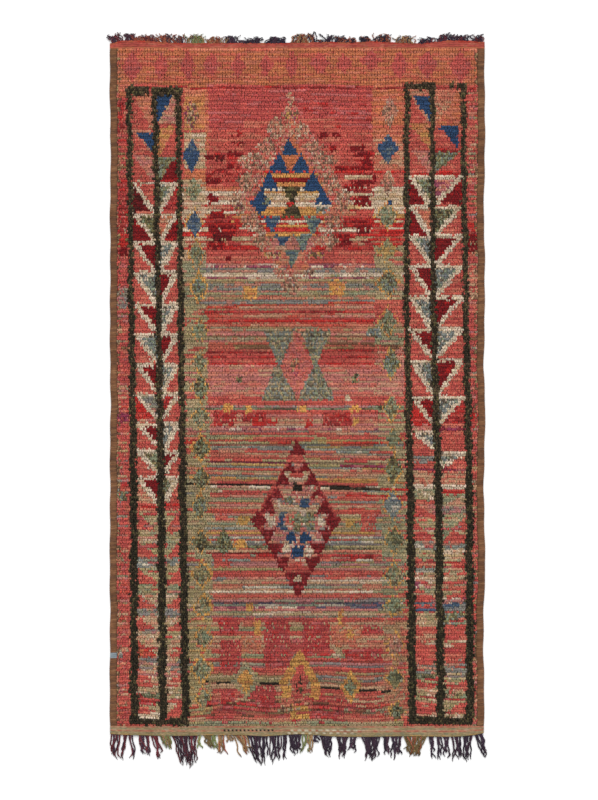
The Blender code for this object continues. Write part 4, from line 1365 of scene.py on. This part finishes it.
# %% The end webs
def weave_web(end, ribs, blends):
    deselect_everything()
    bpy.ops.mesh.primitive_grid_add(x_subdivisions=WEB_COLUMNS, y_subdivisions=ribs * 3, size=1.0)
    piece = bpy.context.object
    piece.name = "web_" + end
    grid = np.array([vert.co for vert in piece.data.vertices])
    seam = TOP_WEB_DEPTH if end == "top" else CLOTH_LENGTH - BOTTOM_WEB_DEPTH
    left, right = side_across("left", seam), side_across("right", seam)
    across = left + (grid[:, 0] + 0.5) * (right - left)
    outwards = grid[:, 1] + 0.5
    down = seam + outwards * (end_down(end, across) - seam)
    rib = np.abs(np.sin(np.pi * outwards * ribs))
    warp = WARP_RIPPLE * np.sin(2 * np.pi * across / WARP_PITCH)
    points = np.stack((
        place_x(across), place_y(down),
        WEB_BACK + (WEB_FRONT - WEB_BACK) * outwards - RIB_DEPTH * (1.0 - rib) + warp,
    ), axis=1)
    piece.data.vertices.foreach_set("co", points.ravel())
    names = blends.split()
    weft = np.minimum((outwards * len(names)).astype(int), len(names) - 1)
    colours = np.empty((len(points), 3))
    for number, blend in enumerate(names):
        yarns = BLENDS.get(blend, blend).split()
        run = np.minimum(across / WEFT_RUN + WEFT_SHIFT * number, WEFT_RUNS - 1).astype(int)
        deal_out = rng.integers(0, len(yarns), WEFT_RUNS)
        light = np.array([linear(YARNS[yarn]) for yarn in yarns])
        light = WEB_FLECK * light + (1.0 - WEB_FLECK) * light.mean(axis=0)
        colours[weft == number] = light[deal_out[run[weft == number]]]
    if end == "bottom":
        photo_x = across / PX + LEFT_PX
        photo_y = down / PX + UPPER_PX
        wave = np.sign(np.sin(2 * np.pi * photo_x / ZIGZAG["pitch"]))
        zigzag = np.abs(photo_y - ZIGZAG["y"] - ZIGZAG["swing"] * wave) < THREAD_HALF_PX
        colours[zigzag & between(photo_x, *ZIGZAG["span"])] = linear(ZIGZAG["colour"])
        dots = (np.abs(photo_y - DOTS["y"]) < THREAD_HALF_PX) & between(photo_x, *DOTS["span"])
        colours[dots & (np.sin(2 * np.pi * photo_x / DOTS["pitch"]) > 0)] = linear(DOTS["colour"])
    # The painted shade and light of the ribs, times a tone that varies at random
    shade = (WEB_PAINTED_SHADE + WEB_RIB_PAINTED_LIGHT * rib)[:, None]
    colours *= shade * rng.normal(WEB_TONE[end], 0.05, (len(points), 1))
    keep_wool(piece, colours)
    make_solid(piece, WEB_FRONT - 2 * RIB_DEPTH)
    face_outwards()
    piece.data.materials.append(flat_weave)
    declare(piece, "fringe_" + end)
    print(piece.name, "faces", len(piece.data.polygons))
    return piece


top_web = weave_web("top", 4, "orange_rose coral_field coral_field fire")
bottom_web = weave_web("bottom", 6, "shell straw sand shell straw straw ochre_sage")

# %% [markdown]
# The warps run out past the webs as fringe. The plain model has them in clumps, and the
# strands made here fill the same clumps. A strand is two plies twisted together, so its
# section is a flat oval that turns as it goes along. The strands are dyed by the lengths
# of warp that came to hand: aubergine, maroon, rust, tan and green.

# %% Clumps of warp ends and their colours
CLUMPS = {
    # root from, root to, tip, reach in millimetres
    "top": (
        (3, 55, 14, 34), (59, 111, 74, 31), (115, 131, 118, 20), (135, 191, 150, 28),
        (195, 255, 214, 40), (259, 291, 279, 38), (295, 315, 307, 42), (319, 379, 351, 38),
        (383, 447, 415, 28), (451, 519, 478, 32), (523, 559, 545, 13), (563, 607, 583, 27),
        (611, 707, 659, 26), (711, 799, 763, 38), (803, 831, 811, 46), (835, 851, 843, 14),
        (855, 883, 867, 35), (887, 947, 919, 27), (951, 991, 967, 20), (995, 1047, 1023, 21),
        (1051, 1123, 1091, 35), (1135, 1223, 1179, 32), (1227, 1263, 1250, 22),
        (1271, 1295, 1283, 26), (1299, 1347, 1331, 28), (1351, 1383, 1371, 33),
        (1387, 1439, 1403, 24), (1443, 1489, 1477, 28),
    ),
    "bottom": (
        (3, 43, 19, 104), (55, 68, 55, 106), (73, 89, 91, 106), (111, 155, 143, 90),
        (159, 187, 203, 96), (195, 237, 238, 56), (243, 351, 313, 136), (355, 363, 356, 54),
        (371, 423, 405, 60), (429, 459, 448, 84), (463, 475, 473, 32), (485, 535, 549, 92),
        (545, 631, 597, 120), (637, 679, 661, 128), (683, 707, 695, 104), (711, 767, 739, 92),
        (771, 811, 787, 80), (815, 831, 821, 32), (835, 887, 869, 88), (903, 955, 927, 92),
        (961, 987, 969, 68), (1001, 1079, 1043, 100), (1087, 1115, 1107, 84),
        (1121, 1167, 1143, 96), (1173, 1267, 1215, 82), (1273, 1295, 1285, 100),
        (1301, 1323, 1315, 98), (1331, 1355, 1347, 92), (1361, 1403, 1393, 104),
        (1411, 1451, 1427, 106), (1453, 1487, 1500, 102),
    ),
}
WARP_DYES = {
    "aubergine": "#4a3240", "maroon": "#6a3036", "violet": "#3b2d3c", "indigo": "#2c2a3a",
    "tan": "#9c7b57", "green": "#7d8455", "rust": "#94503a", "umber": "#75603f",
}
WARP_LENGTHS = {
    # photo x where a colour starts, and the dyes that take turns from there
    "top": (
        (100, "aubergine aubergine maroon"), (135, "rust maroon rust"), (165, "aubergine rust"),
        (187, "green green tan"), (205, "rust tan rust"), (226, "indigo violet aubergine"),
        (288, "tan rust indigo"), (310, "indigo violet rust"), (394, "tan rust violet"),
        (416, "indigo violet maroon violet"),
    ),
    "bottom": (
        (100, "maroon aubergine maroon"), (158, "tan green umber"), (171, "maroon aubergine"),
        (199, "green umber green"), (217, "tan rust tan"), (244, "violet violet aubergine"),
        (302, "tan green tan"), (314, "violet aubergine violet violet"), (403, "umber rust umber"),
        (428, "violet aubergine violet"),
    ),
}


# %% Twist the strands and lay them in their clumps
STRAND_SIDES = 6
STRANDS = {
    # strand pitch, thick and thin radius, stations, wobble, all but the stations in metres
    "top": (0.0027, 0.0024, 0.0017, 10, 0.0110),
    "bottom": (0.0050, 0.0039, 0.0026, 18, 0.0080),
}
TWIST_PITCH = 0.016
FAR_SHARE = {"top": (0.45, 1.0), "bottom": (0.60, 1.0)}
AIM_STRAY = {"top": 0.014, "bottom": 0.007}
CURL = {"top": 0.004, "bottom": 0.0035}
STRAND_TONE = {"top": 0.80, "bottom": 0.86}
# Millimetres that the outer strands keep from a clump's sides
CLUMP_EDGE = 1.5
CLUMP_FAN = 0.45
# Metres that a strand starts inside the web, and its lowest and further lift from the floor
HIDDEN_ROOT = 0.004
STRAND_UP, STRAND_UP_MORE = 0.0028, 0.0032
STRAND_RIPPLE = 0.0008
FLOOR_GAP = 0.0002
ANY_PHASE = 6.3


def dye_at(end, across, pick):
    """The linear colour of the warp that runs out here."""
    photo_x = across / PX + LEFT_PX
    dyes = [names for start, names in WARP_LENGTHS[end] if photo_x >= start][-1].split()
    return linear(WARP_DYES[dyes[pick % len(dyes)]])


def strand_tube(path, thick, thin, phase):
    """A ring of points round each station of a path, turning as two plies do."""
    step = np.gradient(path, axis=0)
    step /= np.linalg.norm(step, axis=1)[:, None]
    side = np.cross(step, (0.0, 0.0, 1.0))
    side /= np.linalg.norm(side, axis=1)[:, None] + 1e-9
    lift = np.cross(side, step)
    length = np.concatenate(([0.0], np.cumsum(np.linalg.norm(np.diff(path, axis=0), axis=1))))
    turn = phase + 2 * np.pi * length / TWIST_PITCH
    share = np.linspace(0.0, 1.0, len(path))
    taper = np.where(share > 0.9, 0.55, 1.0)[:, None, None]
    angle = np.linspace(0.0, 2 * np.pi, STRAND_SIDES, endpoint=False)
    flat_u = thick * np.cos(angle)[None, :]
    flat_v = thin * np.sin(angle)[None, :]
    u = flat_u * np.cos(turn)[:, None] - flat_v * np.sin(turn)[:, None]
    v = flat_u * np.sin(turn)[:, None] + flat_v * np.cos(turn)[:, None]
    ring = u[:, :, None] * side[:, None, :] + v[:, :, None] * lift[:, None, :]
    return path[:, None, :] + ring * taper


def hang_fringe(end):
    """All strands of one end as a joined mesh."""
    pitch, thick, thin, stations, wobble = STRANDS[end]
    outwards = 1.0 if end == "top" else -1.0
    share = np.linspace(0.0, 1.0, stations)
    tubes, colours, faces = [], [], []
    per_strand = stations * STRAND_SIDES
    for root_from, root_to, tip, reach in CLUMPS[end]:
        count = max(3, round((root_to - root_from) / 1000 / pitch))
        roots = np.linspace(root_from + CLUMP_EDGE, root_to - CLUMP_EDGE, count) / 1000
        for root in roots:
            far = reach / 1000 * rng.uniform(*FAR_SHARE[end])
            aim = tip / 1000 + CLUMP_FAN * (root - (root_from + root_to) / 2000)
            aim += rng.normal(0, AIM_STRAY[end])
            bow = wobble * np.sin(np.pi * share * rng.uniform(1.2, 2.6) + rng.uniform(0, ANY_PHASE))
            bow += CURL[end] * share * np.sin(np.pi * share * rng.uniform(4.0, 8.0))
            across = root + (aim - root) * share ** 0.8 + bow * share
            start = place_y(end_down(end, root)) - outwards * HIDDEN_ROOT
            along = start + outwards * (far + HIDDEN_ROOT) * share
            up = STRAND_UP + rng.uniform(0.0, STRAND_UP_MORE) * np.sin(np.pi * share) ** 0.7
            up = up + STRAND_RIPPLE * np.sin(9.0 * share + rng.uniform(0, ANY_PHASE)) * share
            path = np.stack((place_x(across), along, up), axis=1)
            path[:, 2] = np.maximum(path[:, 2], thick + FLOOR_GAP)
            tubes.append(strand_tube(path, thick, thin, rng.uniform(0, ANY_PHASE)))
            dye = dye_at(end, root, int(rng.integers(0, 60))) * rng.normal(STRAND_TONE[end], 0.13)
            tone_along = 0.8 + 0.35 * rng.random(stations)
            colours.append(np.repeat(dye[None] * tone_along[:, None], STRAND_SIDES, axis=0))
    for number in range(len(tubes)):
        first = number * per_strand
        for station in range(stations - 1):
            low = first + station * STRAND_SIDES
            for corner in range(STRAND_SIDES):
                beside = (corner + 1) % STRAND_SIDES
                faces.append((low + corner, low + beside, low + STRAND_SIDES + beside,
                              low + STRAND_SIDES + corner))
        faces.append(tuple(first + corner for corner in reversed(range(STRAND_SIDES))))
        last = first + per_strand - STRAND_SIDES
        faces.append(tuple(last + corner for corner in range(STRAND_SIDES)))
    piece = mesh_piece("warp_ends_" + end, np.concatenate(tubes), faces, "fringe_" + end)
    keep_wool(piece, np.concatenate(colours))
    deselect_everything()
    piece.select_set(True)
    bpy.context.view_layer.objects.active = piece
    face_outwards()
    piece.data.materials.append(plied_warp)
    print(piece.name, "strands", len(tubes), "faces", len(faces))
    return piece


top_fringe = hang_fringe("top")
bottom_fringe = hang_fringe("bottom")

# %% [markdown]
# The ground weave is the sheet of cloth, as wide and long as it was woven. On the real rug the
# pile, the bindings, the webs and the fringe are all part of it or carried by it; here each
# piece is attached to the root on its own.

# %% [markdown]
# The rug was photographed flat, from straight above, on white. The camera hangs far up with
# a long lens, which keeps the sides straight. A broad soft lamp stands beyond the upper end,
# so each row shades the one below it, and a bright sky fills the shadows.

# %% Floor, light and camera
CAMERA_HEIGHT = 12.0
SENSOR = 36.0
PHOTO_SIZE = (598, 800)
FLOOR_SIZE = 30.0
FLOOR_DROP = 0.0005
PAPER_WHITE = 0.94
SKY_STRENGTH = 0.75
LAMP_STRENGTH = 2.2
LAMP_TILT_DEGREES = -48
LAMP_SPREAD_DEGREES = 45
deselect_everything()
bpy.ops.mesh.primitive_plane_add(size=FLOOR_SIZE, location=(0, 0, -FLOOR_DROP))
floor = bpy.context.object
floor.name = "floor"
paper = bpy.data.materials.new("white_studio_paper")
paper.use_nodes = True
paper_skin = paper.node_tree.nodes["Principled BSDF"]
paper_skin.inputs["Base Color"].default_value = (PAPER_WHITE, PAPER_WHITE, PAPER_WHITE, 1.0)
paper_skin.inputs["Roughness"].default_value = 1.0
paper_skin.inputs["Specular IOR Level"].default_value = 0.0
floor.data.materials.append(paper)
sky = bpy.data.worlds.new("studio_sky")
sky.use_nodes = True
sky.node_tree.nodes["Background"].inputs["Color"].default_value = (1.0, 1.0, 1.0, 1.0)
sky.node_tree.nodes["Background"].inputs["Strength"].default_value = SKY_STRENGTH
bpy.context.scene.world = sky
lamp_tilt = math.radians(LAMP_TILT_DEGREES)
bpy.ops.object.light_add(type="SUN", location=(0, 3, 4), rotation=(lamp_tilt, 0, 0))
lamp = bpy.context.object
lamp.data.energy = LAMP_STRENGTH
lamp.data.angle = math.radians(LAMP_SPREAD_DEGREES)
camera_x = place_x((PHOTO_SIZE[0] / 2 - LEFT_PX) * PX)
camera_y = place_y((PHOTO_SIZE[1] / 2 - UPPER_PX) * PX)
bpy.ops.object.camera_add(location=(camera_x, camera_y, CAMERA_HEIGHT), rotation=(0, 0, 0))
camera = bpy.context.object
camera.data.sensor_width = SENSOR
camera.data.lens = SENSOR * CAMERA_HEIGHT / (PHOTO_SIZE[1] * PX)
camera.data.clip_end = 100.0
bpy.context.scene.camera = camera
bpy.context.scene.view_settings.view_transform = "Standard"
print("lens", round(camera.data.lens, 1), "camera at", round(camera_x, 4), round(camera_y, 4))
